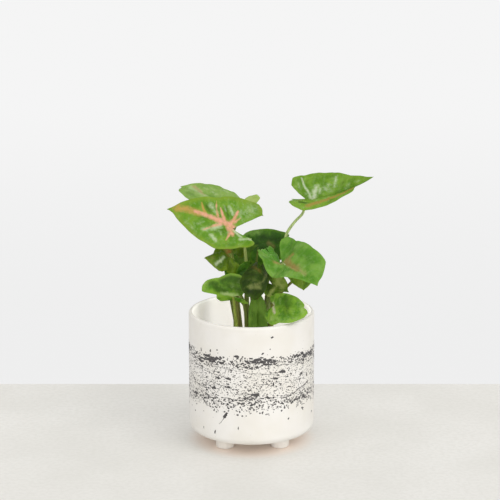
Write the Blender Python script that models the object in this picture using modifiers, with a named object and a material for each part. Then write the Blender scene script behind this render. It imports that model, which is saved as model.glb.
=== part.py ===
"""An arrowhead plant (syngonium) standing in the soil of a footed ceramic pot.

Metres, +Z up. The origin lies on the surface that the pot stands on, below the middle of the
whole object's box. Seen from -Y, the two large leaves lean to the left and the long petiole
to the right. Tables hold millimetres and degrees, measured from the pot's axis.
"""
import math
from dataclasses import dataclass

import bmesh
import bpy
import numpy as np
from mathutils import Vector

MM = 0.001
CLEARANCE = 0.0003
MERGE_DISTANCE = 0.00001

# Where the pot's axis stands, so that the origin is below the middle of the whole box
AXIS_X = -0.01406

# Pot
POT_RADIUS = 0.055
POT_HEIGHT = 0.1175
POT_WALL = 0.0045
POT_FLOOR = 0.006
POT_CORNER = 0.007
POT_INNER_CORNER = 0.005
POT_STEPS = 60
CORNER_STEPS = 4
FOOT_HEIGHT = 0.0105
FOOT_RADIUS = 0.008
FOOT_TOP_RADIUS = 0.0086
FOOT_SINK = 0.003
FOOT_EDGE = 0.0014
FOOT_CIRCLE = 0.0338
FOOT_TURN = 47.0
FOOT_COUNT = 4
FOOT_STEPS = 20

# Soil
SOIL_TOP = 0.087
SOIL_MOUND = 0.003
SOIL_EDGE = 0.002
SOIL_SHOULDER = 0.45
SOIL_SHOULDER_RISE = 0.75
SOIL_LEVEL_FROM = 0.8
SOIL_STEPS = 48
HOLE_DEPTH = 0.012
HOLE_STEPS = 10

# Leaves
BLADE_THICKNESS = 0.0008
BLADE_RAYS = 24
BLADE_RINGS = 4
RAY_CROWDING = 1.35
RING_CROWDING = 0.85
PETIOLE_BASE_RADIUS = 0.0019
PETIOLE_TOP_RADIUS = 0.0011
PETIOLE_SPACING = 0.009
PETIOLE_OVERLAP = 0.0014

# Outline of half a blade whose midrib has unit length: degrees from the tip, then the
# distance from the point where the petiole joins. The last point ends the basal lobe.
HALF_OUTLINE = (
    (0.0, 1.0), (2.7, 0.941), (9.4, 0.861), (20.4, 0.747), (36.5, 0.622), (55.1, 0.524),
    (77.7, 0.471), (101.0, 0.466), (120.0, 0.486), (135.0, 0.50), (146.0, 0.455), (152.0, 0.33),
)
LOBE_REACH = 0.43
HALF_WIDTH = 0.46
RIB_BLEND = 0.1
NEARLY_STRAIGHT = 1e-6
NEARLY_UPRIGHT = 0.97


@dataclass
class Leaf:
    """One leaf; a pair of numbers is for the left and the right half, seen along the midrib."""

    name: str
    colour: str
    base: tuple                   # where the petiole leaves the soil, x and y
    junction: tuple               # where the petiole joins the blade
    tip: tuple                    # the end of the midrib
    guides: tuple = ()            # points that the petiole passes on its way up
    roll: float = 0.0             # turn of the blade about its midrib
    droop: float = 20.0           # how far the midrib turns down on its way to the tip
    width: tuple = (1.0, 1.0)     # breadth of each half, as a share of the usual
    lobe: tuple = (1.0, 1.0)      # length of each basal lobe, as a share of the usual
    fold: tuple = (10.0, 10.0)    # how far each half rises beside the midrib
    close: tuple = (0.0, 0.0)     # further rise of each half towards the tip
    flare: tuple = (0.0, 0.0)     # further rise of each half towards its basal lobe
    cup: tuple = (-10.0, -10.0)   # further turn of each half from midrib to margin
    rear: tuple = (10.0, 10.0)    # how far each basal lobe turns up
    ends: tuple = (152, 152)      # where each half ends at the sinus, degrees from the tip
    left_edge: tuple = ()         # changes of the outline: degrees from the tip, share of reach
    right_edge: tuple = ()


LEAVES = (
    Leaf("leaf_top_left", "fresh", (-3, -1), (-16.3, -8, 192.9), (-72, -11.5, 210.8),
         guides=((-4, -1, 140), (-5, -1, 165), (-7.5, -2, 180)), roll=-44, droop=26,
         width=(0.83, 1.12), lobe=(1.05, 1.37), fold=(-3, -1), flare=(10, -11), cup=(-15, 6),
         rear=(65, 36), ends=(156, 128),
         left_edge=((0, 0.98), (45, 1.06), (68, 1.07), (90, 0.88), (116, 0.71), (134, 0.84),
                 (151, 0.99)),
         right_edge=((0, 1.02), (45, 0.88), (90, 1.05), (113, 1.19), (120, 1.1), (127, 0.93))),
    Leaf("leaf_top_left_rear", "fresh", (-8.5, 5.5), (-18.7, 32, 202.9), (-62.2, 37, 220.4),
         guides=((-14, 12, 140), (-19, 26, 180)), roll=-14, droop=18,
         width=(0.9, 0.87), lobe=(0.23, 1.67), fold=(5, 17), flare=(-11, -19), cup=(-19, -12),
         rear=(8, 8), ends=(151, 140),
         left_edge=((0, 1.01), (4, 1.06), (12, 1.23), (25, 1.29), (50, 1.09), (80, 0.74))),
    Leaf("leaf_top_middle", "yellow", (-3.9, 10.8), (-8, 25.5, 202.4), (7.2, 29.5, 213.2),
         guides=((-7.1, 3.1, 124.1), (-13.6, 1, 139.2), (-18.7, 6.9, 176.6), (-10.8, 22.1, 194.9)),
         roll=20, droop=15,
         width=(1.15, 0.9), lobe=(0.25, 0.25), fold=(5, 5), cup=(-20, -20),
         left_edge=((0, 0.97), (3, 1.03), (9, 1.12), (20, 1.12), (50, 1)),
         right_edge=((0, 0.97), (3, 1.03), (9, 1.12), (20, 1.12), (50, 1))),
    Leaf("leaf_top_right", "fresh", (8, 2), (46.9, 5.5, 216.1), (102.5, -4, 236.5),
         guides=((16, 3, 122), (26, 1, 145), (28, 1.5, 172), (30.4, 2, 185.6), (38.1, 3.5, 196.9),
                 (44, 4.5, 203)), roll=40, droop=-39,
         width=(0.7, 0.51), lobe=(0.98, 0.78), fold=(26, 43), flare=(26, 0), cup=(-12, -42),
         rear=(36, 38), ends=(130, 170),
         left_edge=((0, 1.05), (20, 1.01), (45, 1.13), (75, 1.16), (100, 1.06), (116, 1),
                 (129, 0.73)),
         right_edge=((0, 0.97), (5, 0.78), (12, 0.9), (22, 1.06), (40, 1.06), (70, 1.22),
                 (100, 1.24), (125, 1.1), (150, 0.88), (166, 0.84))),
    Leaf("leaf_right_front", "fresh", (8.9, -6.9), (29.3, -24, 165.1), (55.9, -48, 152),
         guides=((12.3, -1.8, 119.5), (19, -2.2, 140.2), (29.6, -16.4, 160.6)), roll=40, droop=60,
         width=(1.43, 1.07), lobe=(1.56, 2.01), fold=(25, -4), close=(-2, 44), flare=(-3, 46),
         cup=(-16, 12), rear=(25, 39), ends=(167, 160),
         left_edge=((0, 1), (3, 1.02), (10, 1.1), (25, 1.23), (45, 1.02), (70, 0.93), (100, 0.86),
                 (125, 1), (140, 0.95), (152, 0.73), (168, 0.33)),
         right_edge=((0, 0.94), (6, 0.92), (12, 0.83), (25, 0.76), (38, 0.76), (48, 0.84),
                 (72, 0.86), (110, 0.84), (132, 0.96), (146, 0.94), (152, 1.38), (160, 1.25))),
    Leaf("leaf_right_hanging", "yellow", (14, -1), (42, -12, 153.5), (45, -22, 141.5),
         guides=((22, -4, 130), (30, -7, 140), (37, -11, 148)), roll=0, droop=30,
         width=(1.55, 1.6), fold=(5, 5)),
    Leaf("leaf_low_right", "fresh", (16.5, -14), (19.9, -26.5, 129.4), (46.2, -43.5, 130.2),
         guides=((17.5, -17, 108),), roll=57, droop=52,
         width=(0.79, 1.17), lobe=(0.78, 0.87), fold=(12, 9), flare=(-2, 1), cup=(-8, -13),
         rear=(14, 19), ends=(152, 155),
         left_edge=((0, 1.07), (3, 1.01), (10, 1.11), (25, 1.13), (45, 1.04), (70, 0.92),
                 (120, 0.85)),
         right_edge=((0, 1.03), (3, 1.16), (10, 1.21), (25, 1.19), (45, 1.03), (70, 1.07),
                 (120, 0.79))),
    Leaf("leaf_middle_high", "deep", (2, 5), (6, 12, 173.5), (33.1, 15, 181.5),
         guides=((3, 9, 130), (4, 9, 155)), roll=68, droop=1,
         width=(0.93, 1.44), lobe=(1.16, 1.15), fold=(2, -10), flare=(24, 2), cup=(3, -2),
         rear=(14, -16), ends=(160, 158),
         left_edge=((0, 1), (5, 1.06), (15, 1), (40, 1.02), (80, 1.07), (120, 1.19), (152, 1.2)),
         right_edge=((0, 1), (15, 1.05), (40, 1.18), (80, 1), (120, 0.88), (152, 0.95))),
    Leaf("leaf_left", "deep", (-10.5, -4), (-21, -4.5, 169.8), (-43, -12, 167.3),
         guides=((-14, -4.5, 135),), roll=-42, droop=60,
         width=(1.49, 0.88), lobe=(1.04, 2.03), fold=(-8, 8), close=(0, -96), flare=(11, 34),
         cup=(-41, 31), rear=(23, -26), ends=(142, 159),
         left_edge=((0, 0.93), (40, 1.09), (80, 0.9), (120, 1.19), (143, 0.92)),
         right_edge=((0, 0.92), (5, 0.67), (15, 0.67), (40, 0.83), (80, 1.09), (120, 1.23),
                 (152, 1.29))),
    Leaf("leaf_middle_left", "deep", (-3.5, -10.5), (-2.2, -9.5, 160), (-13.7, -10.5, 151.6),
         guides=((-4.5, -7, 140),), roll=-75, droop=-20,
         width=(1.3, 0.89), lobe=(0.89, 1.11), fold=(3, 28), flare=(27, 38), cup=(10, -16),
         rear=(17, 28), ends=(159, 160),
         left_edge=((0, 1), (5, 1.12), (15, 1.19), (40, 1.27), (80, 1.11), (120, 0.89),
                 (152, 1.03)),
         right_edge=((0, 1), (5, 1.05), (15, 1.11), (40, 1.11), (80, 0.95), (120, 0.83),
                 (152, 1.03))),
    Leaf("leaf_low_left", "fresh", (-11.5, -9.5), (-15.5, -19, 135.4), (-42.9, -19.5, 139.8),
         roll=-62, droop=20,
         width=(0.78, 1.15), lobe=(1.48, 1.1), fold=(-60, 32), close=(28, 0), flare=(6, 13),
         cup=(-14, -24), rear=(10, 8), ends=(160, 160),
         left_edge=((0, 1), (5, 0.6), (12, 0.64), (25, 0.8), (50, 0.93), (80, 0.58), (110, 0.58),
                 (135, 0.89), (160, 0.8)),
         right_edge=((0, 1), (4, 1.1), (10, 1.19), (20, 1.26), (40, 1.15), (70, 1.35), (100, 1.3),
                 (125, 1), (160, 0.8))),
    Leaf("leaf_middle_front", "deep", (0.5, -6), (5, -24.8, 161.3), (-4, -42.3, 141.4),
         guides=((1, -7, 132),), roll=-17, droop=24,
         width=(1.09, 1.06), lobe=(1.1, 1.15), fold=(-28, -18), flare=(-25, -24), cup=(-28, -15),
         rear=(4, -8), ends=(160, 158),
         left_edge=((0, 1), (5, 1.06), (15, 1.28), (40, 1.27), (80, 1), (120, 1.14), (152, 1.2)),
         right_edge=((0, 1), (5, 1.02), (15, 1.06), (40, 1.1), (80, 0.75), (120, 0.8), (152, 1.1))),
    Leaf("leaf_young", "deep", (4, -13), (6, -13, 98), (5, -12, 131.5),
         roll=0, droop=5,
         width=(0.62, 0.62), lobe=(0.55, 0.55), fold=(35, 35),
         left_edge=((0, 0.97), (3, 1.05), (9, 1.3), (20, 1.35), (50, 1.1), (110, 0.9)),
         right_edge=((0, 0.97), (3, 1.05), (9, 1.3), (20, 1.35), (50, 1.1), (110, 0.9))),
    Leaf("leaf_low_middle", "yellow", (15, -7), (18, -8, 143.1), (32.4, -14, 137.6),
         guides=((18, -9, 125),), roll=61, droop=1,
         width=(1.68, 1.67), lobe=(1.1, 2.2), fold=(33, 28), flare=(-32, 28), cup=(7, -50),
         rear=(-19, 35), ends=(160, 160),
         left_edge=((0, 1), (5, 0.96), (15, 1.07), (80, 1.04), (120, 1.09), (152, 1.14)),
         right_edge=((0, 1), (5, 0.81), (15, 0.72), (40, 0.87), (80, 0.95), (120, 0.81),
                 (152, 0.7))),
    Leaf("leaf_middle_hanging", "deep", (3, -2), (16.1, -1.5, 168.1), (24.1, -6.5, 155.1),
         guides=((8, 2, 140), (12, 0, 158)), roll=0, droop=20,
         width=(1.2, 1.2), fold=(5, 5), ends=(172, 172),
         left_edge=((100, 1), (130, 1.15), (152, 1.25), (172, 1.3)),
         right_edge=((100, 1), (130, 1.15), (152, 1.25), (172, 1.3))),
    Leaf("leaf_rear_left", "deep", (-11.6, 13.4), (-23.9, 38.8, 146.7), (-9.3, 52, 161),
         roll=42, droop=25,
         lobe=(0.7, 0.7), fold=(12, 12)),
    Leaf("leaf_rear_right", "deep", (9.1, 10.6), (14, 16.8, 141.8), (31.7, 18.2, 158.5),
         roll=-12, droop=25,
         lobe=(0.7, 0.7), fold=(12, 12)),
    Leaf("leaf_rear", "deep", (5.7, 14.2), (-4.7, 22.1, 153), (15.5, 34.1, 174),
         roll=61, droop=30,
         width=(0.81, 0.86), lobe=(0.7, 0.7), fold=(12, 12)),
    Leaf("leaf_rear_low", "deep", (-14.1, 3.9), (-14.1, 24.2, 125.9), (-4.3, 36, 104.4),
         roll=42, droop=25,
         width=(0.85, 0.85), lobe=(0.7, 0.7), fold=(12, 12)),
)


def smooth_curve(knots, values, at):
    """Reads a smooth curve through (knots, values) at the given places."""
    slopes = np.gradient(values, knots)
    index = np.clip(np.searchsorted(knots, at) - 1, 0, len(knots) - 2)
    step = knots[index + 1] - knots[index]
    t = (at - knots[index]) / step
    start = (2 * t**3 - 3 * t**2 + 1) * values[index] + (t**3 - 2 * t**2 + t) * step * slopes[index]
    end = (3 * t**2 - 2 * t**3) * values[index + 1] + (t**3 - t**2) * step * slopes[index + 1]
    return start + end


def unit(vector):
    """The vector at length 1."""
    return vector / np.linalg.norm(vector)


def turned(vector, axis, angle):
    """The vector turned about a unit axis."""
    across = np.cross(axis, vector)
    level = axis * (axis @ vector)
    return vector * math.cos(angle) + across * math.sin(angle) + level * (1 - math.cos(angle))


@dataclass
class Midrib:
    """A midrib as an arc: its start, first direction, the blade's normal and left there, length, turn."""

    start: np.ndarray
    along: np.ndarray
    normal: np.ndarray
    left: np.ndarray
    length: float
    turn: float


def midrib_of(leaf):
    """The arc of constant curvature from the junction to the tip, in metres."""
    junction = np.array(leaf.junction, float) * MM
    chord = np.array(leaf.tip, float) * MM - junction
    reach = np.linalg.norm(chord)
    along = chord / reach
    up = np.array([0.0, 0.0, 1.0]) if abs(along[2]) < NEARLY_UPRIGHT else np.array([0.0, -1.0, 0.0])
    normal = turned(unit(up - along * (along @ up)), along, math.radians(leaf.roll))
    left = np.cross(normal, along)
    half_turn = math.radians(leaf.droop) / 2
    length = reach * half_turn / math.sin(half_turn)
    return Midrib(junction, turned(along, left, -half_turn), turned(normal, left, -half_turn), left,
                  length, 2 * half_turn)


def by_half(pair, is_left):
    """Takes the left or the right value for each point."""
    return np.where(is_left, pair[0], pair[1])


def blade_surface(leaf, flat):
    """Bends flat points, in units of the midrib's length, into the leaf's place."""
    rib = midrib_of(leaf)
    is_left = flat[..., 1] > 0
    along = flat[..., 0] * rib.length
    along = np.where(along < 0, along * by_half(leaf.lobe, is_left), along)
    across = np.abs(flat[..., 1]) * rib.length * by_half(leaf.width, is_left)

    # Across the blade each half is an arc that starts at its fold angle
    toward_tip = np.clip(along / rib.length, 0, 1)
    toward_lobe = np.clip(-along / (LOBE_REACH * rib.length), 0, 1)
    fold = np.radians(by_half(leaf.fold, is_left) + by_half(leaf.close, is_left) * toward_tip
                      + by_half(leaf.flare, is_left) * toward_lobe)
    half_width = HALF_WIDTH * rib.length * by_half(leaf.width, is_left)
    bend = np.radians(by_half(leaf.cup, is_left)) / half_width
    bend = np.where(np.abs(bend) < NEARLY_STRAIGHT, NEARLY_STRAIGHT, bend)
    sideways = (np.sin(fold + bend * across) - np.sin(fold)) / bend
    sideways = np.where(is_left, sideways, -sideways)
    raised = (np.cos(fold) - np.cos(fold + bend * across)) / bend

    # Along the blade the midrib droops toward the tip, and each lobe turns up behind the junction
    blend = np.clip(flat[..., 1] / RIB_BLEND, -1, 1) / 2 + 0.5
    rear = np.radians(leaf.rear[0] * blend + leaf.rear[1] * (1 - blend)) / (LOBE_REACH * rib.length)
    rate = np.where(along >= 0, rib.turn / rib.length, -rear)
    rate = np.where(np.abs(rate) < NEARLY_STRAIGHT, NEARLY_STRAIGHT, rate)
    angle = rate * along
    forward = np.sin(angle) / rate
    dropped = (np.cos(angle) - 1) / rate
    local_normal = rib.normal * np.cos(angle)[..., None] + rib.along * np.sin(angle)[..., None]
    return (rib.start + forward[..., None] * rib.along + dropped[..., None] * rib.normal
            + sideways[..., None] * rib.left + raised[..., None] * local_normal)


def edge_share(edge, degrees):
    """How far the outline's reach is changed at each direction."""
    if not edge:
        return np.ones_like(degrees)
    knots = np.array([point[0] for point in edge], float)
    shares = np.array([point[1] for point in edge], float)
    return np.interp(degrees, knots, shares)


def flat_point(leaf, ray, ring):
    """A point of the flat blade: ray runs -1..1 from lobe to lobe past the tip, ring 0..1 outward."""
    knots = np.array([point[0] for point in HALF_OUTLINE])
    reaches = np.array([point[1] for point in HALF_OUTLINE])
    degrees = by_half(leaf.ends, ray > 0) * np.abs(ray) ** RAY_CROWDING
    share = np.where(ray > 0, edge_share(leaf.left_edge, degrees), edge_share(leaf.right_edge, degrees))
    reach = smooth_curve(knots, reaches, np.minimum(degrees, knots[-1])) * share * ring ** RING_CROWDING
    angle = np.radians(degrees) * np.sign(ray)
    return np.stack([reach * np.cos(angle), reach * np.sin(angle)], axis=-1)


def petiole_points(leaf):
    """Points up a petiole, in metres: upright in its hole, past its guides, into the blade."""
    rib = midrib_of(leaf)
    bottom = SOIL_TOP - HOLE_DEPTH + CLEARANCE
    x, y = leaf.base[0] * MM, leaf.base[1] * MM
    knees = [(x, y, SOIL_TOP + SOIL_MOUND)]
    knees += [tuple(value * MM for value in guide) for guide in leaf.guides]
    knees.append(tuple(rib.start + rib.along * PETIOLE_OVERLAP))
    knees = np.array(knees)
    steps = np.linalg.norm(np.diff(knees, axis=0), axis=1)
    knots = np.concatenate([[0.0], np.cumsum(steps)])
    count = max(5, round(knots[-1] / PETIOLE_SPACING))
    at = np.linspace(0, knots[-1], count + 1)
    if len(knees) == 2:
        path = knees[0] + (knees[1] - knees[0]) * (at / knots[-1])[:, None]
    else:
        path = np.stack([smooth_curve(knots, knees[:, axis], at) for axis in range(3)], axis=-1)
    return np.concatenate([[[x, y, bottom]], path])


def clear_scene():
    """Removes the scene's objects."""
    for thing in list(bpy.data.objects):
        bpy.data.objects.remove(thing, do_unlink=True)


def new_collection(name):
    """A collection in the scene."""
    collection = bpy.data.collections.new(name)
    bpy.context.scene.collection.children.link(collection)
    return collection


def new_material(name, colour, roughness):
    """A plain Principled material."""
    material = bpy.data.materials.new(name)
    material.use_nodes = True
    shader = material.node_tree.nodes["Principled BSDF"]
    shader.inputs["Base Color"].default_value = (*colour, 1.0)
    shader.inputs["Roughness"].default_value = roughness
    shader.inputs["Metallic"].default_value = 0.0
    return material


def new_object(name, data, collection, axis, material=None):
    """An object in a collection, parented to the pot's axis."""
    thing = bpy.data.objects.new(name, data)
    collection.objects.link(thing)
    thing.parent = axis
    if material is not None:
        data.materials.append(material)
    return thing


def applied(thing):
    """Bakes an object's modifiers into its mesh."""
    depsgraph = bpy.context.evaluated_depsgraph_get()
    mesh = bpy.data.meshes.new_from_object(thing.evaluated_get(depsgraph))
    thing.modifiers.clear()
    old = thing.data
    thing.data = mesh
    mesh.name = thing.name
    bpy.data.meshes.remove(old)


def join_by_union(thing, others):
    """Fuses other objects into one by a Boolean union and removes them."""
    group = bpy.data.collections.new(thing.name + "_joined")
    for other in others:
        group.objects.link(other)
    union = thing.modifiers.new("union", "BOOLEAN")
    union.operation = "UNION"
    union.operand_type = "COLLECTION"
    union.collection = group
    union.solver = "EXACT"
    applied(thing)
    for other in others:
        bpy.data.objects.remove(other, do_unlink=True)
    bpy.data.collections.remove(group)


def arc(centre_x, centre_z, radius, start, end, steps):
    """Points of an arc in the profile's plane, angles in degrees."""
    angles = [math.radians(start + (end - start) * i / steps) for i in range(steps + 1)]
    return [(centre_x + radius * math.cos(a), centre_z + radius * math.sin(a)) for a in angles]


def turned_mesh(name, profile, steps, collection, axis, material):
    """A body turned from a profile of (radius, height) points."""
    mesh = bpy.data.meshes.new(name)
    body = bmesh.new()
    points = [body.verts.new((x, 0, z)) for x, z in profile]
    for start, end in zip(points, points[1:]):
        body.edges.new((start, end))
    body.to_mesh(mesh)
    body.free()
    thing = new_object(name, mesh, collection, axis, material)
    screw = thing.modifiers.new("turn", "SCREW")
    screw.axis = "Z"
    screw.steps = steps
    screw.render_steps = steps
    screw.use_merge_vertices = True
    screw.merge_threshold = MERGE_DISTANCE
    return thing


def pot_profile():
    """The pot's section: floor, inner wall, rounded lip, outer wall and base."""
    inner = POT_RADIUS - POT_WALL
    floor = FOOT_HEIGHT + POT_FLOOR
    lip = POT_WALL / 2
    profile = [(0.0, floor)]
    corner = POT_INNER_CORNER
    profile += arc(inner - corner, floor + corner, corner, -90, 0, CORNER_STEPS)
    profile += arc(POT_RADIUS - lip, POT_HEIGHT - lip, lip, 180, 0, 2 * CORNER_STEPS)
    profile += arc(POT_RADIUS - POT_CORNER, FOOT_HEIGHT + POT_CORNER, POT_CORNER, 0, -90, CORNER_STEPS)
    profile.append((0.0, FOOT_HEIGHT))
    return profile


def make_foot(index, collection, axis):
    """A short round foot, a little narrower at the ground, its top sunk into the pot's base."""
    angle = math.radians(FOOT_TURN + 360 * index / FOOT_COUNT)
    height = FOOT_HEIGHT + FOOT_SINK
    mesh = bpy.data.meshes.new("foot")
    body = bmesh.new()
    bmesh.ops.create_cone(body, cap_ends=True, segments=FOOT_STEPS, radius1=FOOT_RADIUS,
                          radius2=FOOT_TOP_RADIUS, depth=height)
    bmesh.ops.translate(body, verts=body.verts, vec=(0, 0, height / 2))
    lower = [edge for edge in body.edges if max(v.co.z for v in edge.verts) < FOOT_EDGE]
    bmesh.ops.bevel(body, geom=lower, offset=FOOT_EDGE, segments=2, affect="EDGES", profile=0.5)
    body.to_mesh(mesh)
    body.free()
    foot = new_object("foot", mesh, collection, axis)
    foot.location = (FOOT_CIRCLE * math.cos(angle), FOOT_CIRCLE * math.sin(angle), 0)
    return foot


def make_pot(collection, axis, material):
    """The pot with its feet, one fired piece."""
    pot = turned_mesh("pot", pot_profile(), POT_STEPS, collection, axis, material)
    feet = [make_foot(index, collection, axis) for index in range(FOOT_COUNT)]
    bpy.context.view_layer.update()
    join_by_union(pot, feet)
    return pot


def soil_profile():
    """The soil's section: slightly mounded on top, following the pot's inside."""
    radius = POT_RADIUS - POT_WALL - CLEARANCE
    bottom = FOOT_HEIGHT + POT_FLOOR + CLEARANCE
    corner = POT_INNER_CORNER
    profile = [(0.0, SOIL_TOP + SOIL_MOUND),
               (radius * SOIL_SHOULDER, SOIL_TOP + SOIL_MOUND * SOIL_SHOULDER_RISE),
               (radius * SOIL_LEVEL_FROM, SOIL_TOP), (radius, SOIL_TOP - SOIL_EDGE)]
    profile += arc(radius - corner, bottom + corner, corner, 0, -90, CORNER_STEPS)
    profile.append((0.0, bottom))
    return profile


def make_soil(collection, cutters, axis, material):
    """The soil, with a plain hole for each petiole."""
    for leaf in LEAVES:
        mesh = bpy.data.meshes.new("hole")
        body = bmesh.new()
        depth = HOLE_DEPTH + 2 * SOIL_MOUND
        radius = (PETIOLE_BASE_RADIUS + CLEARANCE) / math.cos(math.pi / HOLE_STEPS)
        bmesh.ops.create_cone(body, cap_ends=True, segments=HOLE_STEPS, radius1=radius,
                              radius2=radius, depth=depth)
        bmesh.ops.translate(body, verts=body.verts, vec=(0, 0, depth / 2))
        body.to_mesh(mesh)
        body.free()
        hole = new_object("hole", mesh, cutters, axis)
        hole.location = (leaf.base[0] * MM, leaf.base[1] * MM, SOIL_TOP - HOLE_DEPTH)
        hole.hide_render = True
        hole.display_type = "WIRE"
    soil = turned_mesh("soil", soil_profile(), SOIL_STEPS, collection, axis, material)
    holes = soil.modifiers.new("holes", "BOOLEAN")
    holes.operation = "DIFFERENCE"
    holes.operand_type = "COLLECTION"
    holes.collection = cutters
    holes.solver = "EXACT"
    return soil


def make_petiole(leaf, collection, axis):
    """A round stalk as a tapered curve, made a mesh."""
    points = petiole_points(leaf)
    curve = bpy.data.curves.new("petiole", "CURVE")
    curve.dimensions = "3D"
    curve.bevel_depth = 1.0
    curve.bevel_resolution = 2
    curve.use_fill_caps = True
    spline = curve.splines.new("POLY")
    spline.points.add(len(points) - 1)
    for index, (target, place) in enumerate(zip(spline.points, points)):
        share = max(0, index - 1) / (len(points) - 2)
        target.co = (*place, 1.0)
        target.radius = PETIOLE_BASE_RADIUS + (PETIOLE_TOP_RADIUS - PETIOLE_BASE_RADIUS) * share
    guide = bpy.data.objects.new("petiole_curve", curve)
    collection.objects.link(guide)
    bpy.context.view_layer.update()
    depsgraph = bpy.context.evaluated_depsgraph_get()
    mesh = bpy.data.meshes.new_from_object(guide.evaluated_get(depsgraph))
    body = bmesh.new()
    body.from_mesh(mesh)
    bmesh.ops.remove_doubles(body, verts=body.verts, dist=MERGE_DISTANCE)
    body.to_mesh(mesh)
    body.free()
    petiole = new_object("petiole", mesh, collection, axis)
    bpy.data.objects.remove(guide, do_unlink=True)
    return petiole


def make_blade(leaf, collection, axis, material):
    """The blade as a thin shell: a grid drawn together at the junction and bent into place."""
    mesh = bpy.data.meshes.new(leaf.name)
    body = bmesh.new()
    bmesh.ops.create_grid(body, x_segments=BLADE_RAYS, y_segments=BLADE_RINGS, size=1.0)
    for vert in body.verts:
        flat = flat_point(leaf, np.array(-vert.co.x), np.array((vert.co.y + 1) / 2))
        vert.co = Vector(blade_surface(leaf, flat))
    bmesh.ops.remove_doubles(body, verts=body.verts, dist=MERGE_DISTANCE)
    bmesh.ops.triangulate(body, faces=body.faces)
    body.to_mesh(mesh)
    body.free()
    blade = new_object(leaf.name, mesh, collection, axis, material)
    shell = blade.modifiers.new("thickness", "SOLIDIFY")
    shell.thickness = BLADE_THICKNESS
    shell.offset = 0.0
    return blade


def make_leaf(leaf, collection, axis, materials):
    """A leaf, its blade and petiole grown together."""
    blade = make_blade(leaf, collection, axis, materials[leaf.colour])
    applied(blade)
    join_by_union(blade, [make_petiole(leaf, collection, axis)])
    return blade


def build():
    """The whole object."""
    clear_scene()
    collection = new_collection("potted_syngonium")
    cutters = new_collection("cutters")
    axis = bpy.data.objects.new("pot_axis", None)
    collection.objects.link(axis)
    axis.location = (AXIS_X, 0, 0)
    bpy.context.view_layer.update()
    ceramic = new_material("cream_ceramic", (0.80, 0.77, 0.69), 0.55)
    potting_soil = new_material("potting_soil", (0.035, 0.022, 0.014), 0.95)
    greens = {
        "fresh": new_material("fresh_green_leaf", (0.13, 0.30, 0.035), 0.4),
        "deep": new_material("deep_green_leaf", (0.035, 0.13, 0.015), 0.42),
        "yellow": new_material("yellow_green_leaf", (0.30, 0.40, 0.06), 0.45),
    }
    make_pot(collection, axis, ceramic)
    make_soil(collection, cutters, axis, potting_soil)
    for leaf in LEAVES:
        make_leaf(leaf, collection, axis, greens)


build()
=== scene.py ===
"""An arrowhead plant in a footed ceramic pot with a band of splatter, dressed over its CAD frame.

Metres, +Z up, in the row's frame. Leaf tables hold millimetres and degrees, measured from the
pot's axis, as the part's own source does.
"""
import math
from dataclasses import dataclass

import bmesh
import bpy
import numpy as np
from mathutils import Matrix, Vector


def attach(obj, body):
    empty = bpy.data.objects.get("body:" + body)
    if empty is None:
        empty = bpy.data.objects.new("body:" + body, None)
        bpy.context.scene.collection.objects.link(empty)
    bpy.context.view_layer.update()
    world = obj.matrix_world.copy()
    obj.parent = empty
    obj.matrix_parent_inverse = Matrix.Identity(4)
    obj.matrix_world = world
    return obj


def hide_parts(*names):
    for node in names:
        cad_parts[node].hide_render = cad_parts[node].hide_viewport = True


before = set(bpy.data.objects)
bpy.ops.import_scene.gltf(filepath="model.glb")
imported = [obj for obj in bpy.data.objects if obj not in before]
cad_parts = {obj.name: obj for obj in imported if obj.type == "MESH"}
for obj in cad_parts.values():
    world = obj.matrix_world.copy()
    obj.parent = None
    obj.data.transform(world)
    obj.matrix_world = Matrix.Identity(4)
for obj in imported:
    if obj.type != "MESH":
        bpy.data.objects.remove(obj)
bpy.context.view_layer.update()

MM = 0.001
AXIS_X = -0.01406
AXIS = np.array([AXIS_X, 0.0, 0.0])

# Pot
POT_RADIUS = 0.055
POT_HEIGHT = 0.1175
POT_WALL = 0.0045
POT_FLOOR = 0.006
POT_CORNER = 0.007
POT_INNER_CORNER = 0.005
POT_STEPS = 192
# strength of the painted light that makes the pot's inner wall glow
INNER_WALL_PAINTED_LIGHT = 0.64
FOOT_HEIGHT = 0.0105
FOOT_RADIUS = 0.008
FOOT_TOP_RADIUS = 0.0086
FOOT_SINK = 0.003
FOOT_EDGE = 0.0016
FOOT_FLARE = 0.0014
FOOT_CIRCLE = 0.0338
FOOT_TURN = 47.0
FOOT_COUNT = 4
FOOT_STEPS = 48

# Soil
SOIL_TOP = 0.087
SOIL_MOUND = 0.003
SOIL_EDGE = 0.002
SOIL_ROWS = 44
SOIL_STEPS = 150
SOIL_SHOULDER = 0.8
CLEARANCE = 0.0003
HOLE_DEPTH = 0.012
PEBBLES = 900
PEBBLE_FREE = 0.0035

# Leaves
BLADE_THICKNESS = 0.00045
PETIOLE_BASE_RADIUS = 0.0019
PETIOLE_TOP_RADIUS = 0.0011
PETIOLE_SIDES = 14
PETIOLE_STEP = 0.0022
RIB_FIRST = 0.03
RIB_LAST = 0.72
RIB_STEPS = 24
RIB_END_RADIUS = 0.0001
RIB_DEPTH = 0.0003
GRID_PITCH = 0.0009
LEAST_RINGS = 14
LEAST_RAYS = 48
RAYS_FOR_RING = 2.6
RIM_THINNING = 0.45

# Outline of half a blade whose midrib has unit length: degrees from the tip, then the
# distance from the point where the petiole joins. The last point ends the basal lobe.
HALF_OUTLINE = (
    (0.0, 1.0), (2.7, 0.941), (9.4, 0.861), (20.4, 0.747), (36.5, 0.622), (55.1, 0.524),
    (77.7, 0.471), (101.0, 0.466), (120.0, 0.486), (135.0, 0.50), (146.0, 0.455), (152.0, 0.33),
)
LOBE_REACH = 0.43
HALF_WIDTH = 0.46
RIB_BLEND = 0.1
RAY_CROWDING = 1.2
RING_CROWDING = 0.9
NEARLY_STRAIGHT = 1e-6
NEARLY_UPRIGHT = 0.97


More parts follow.
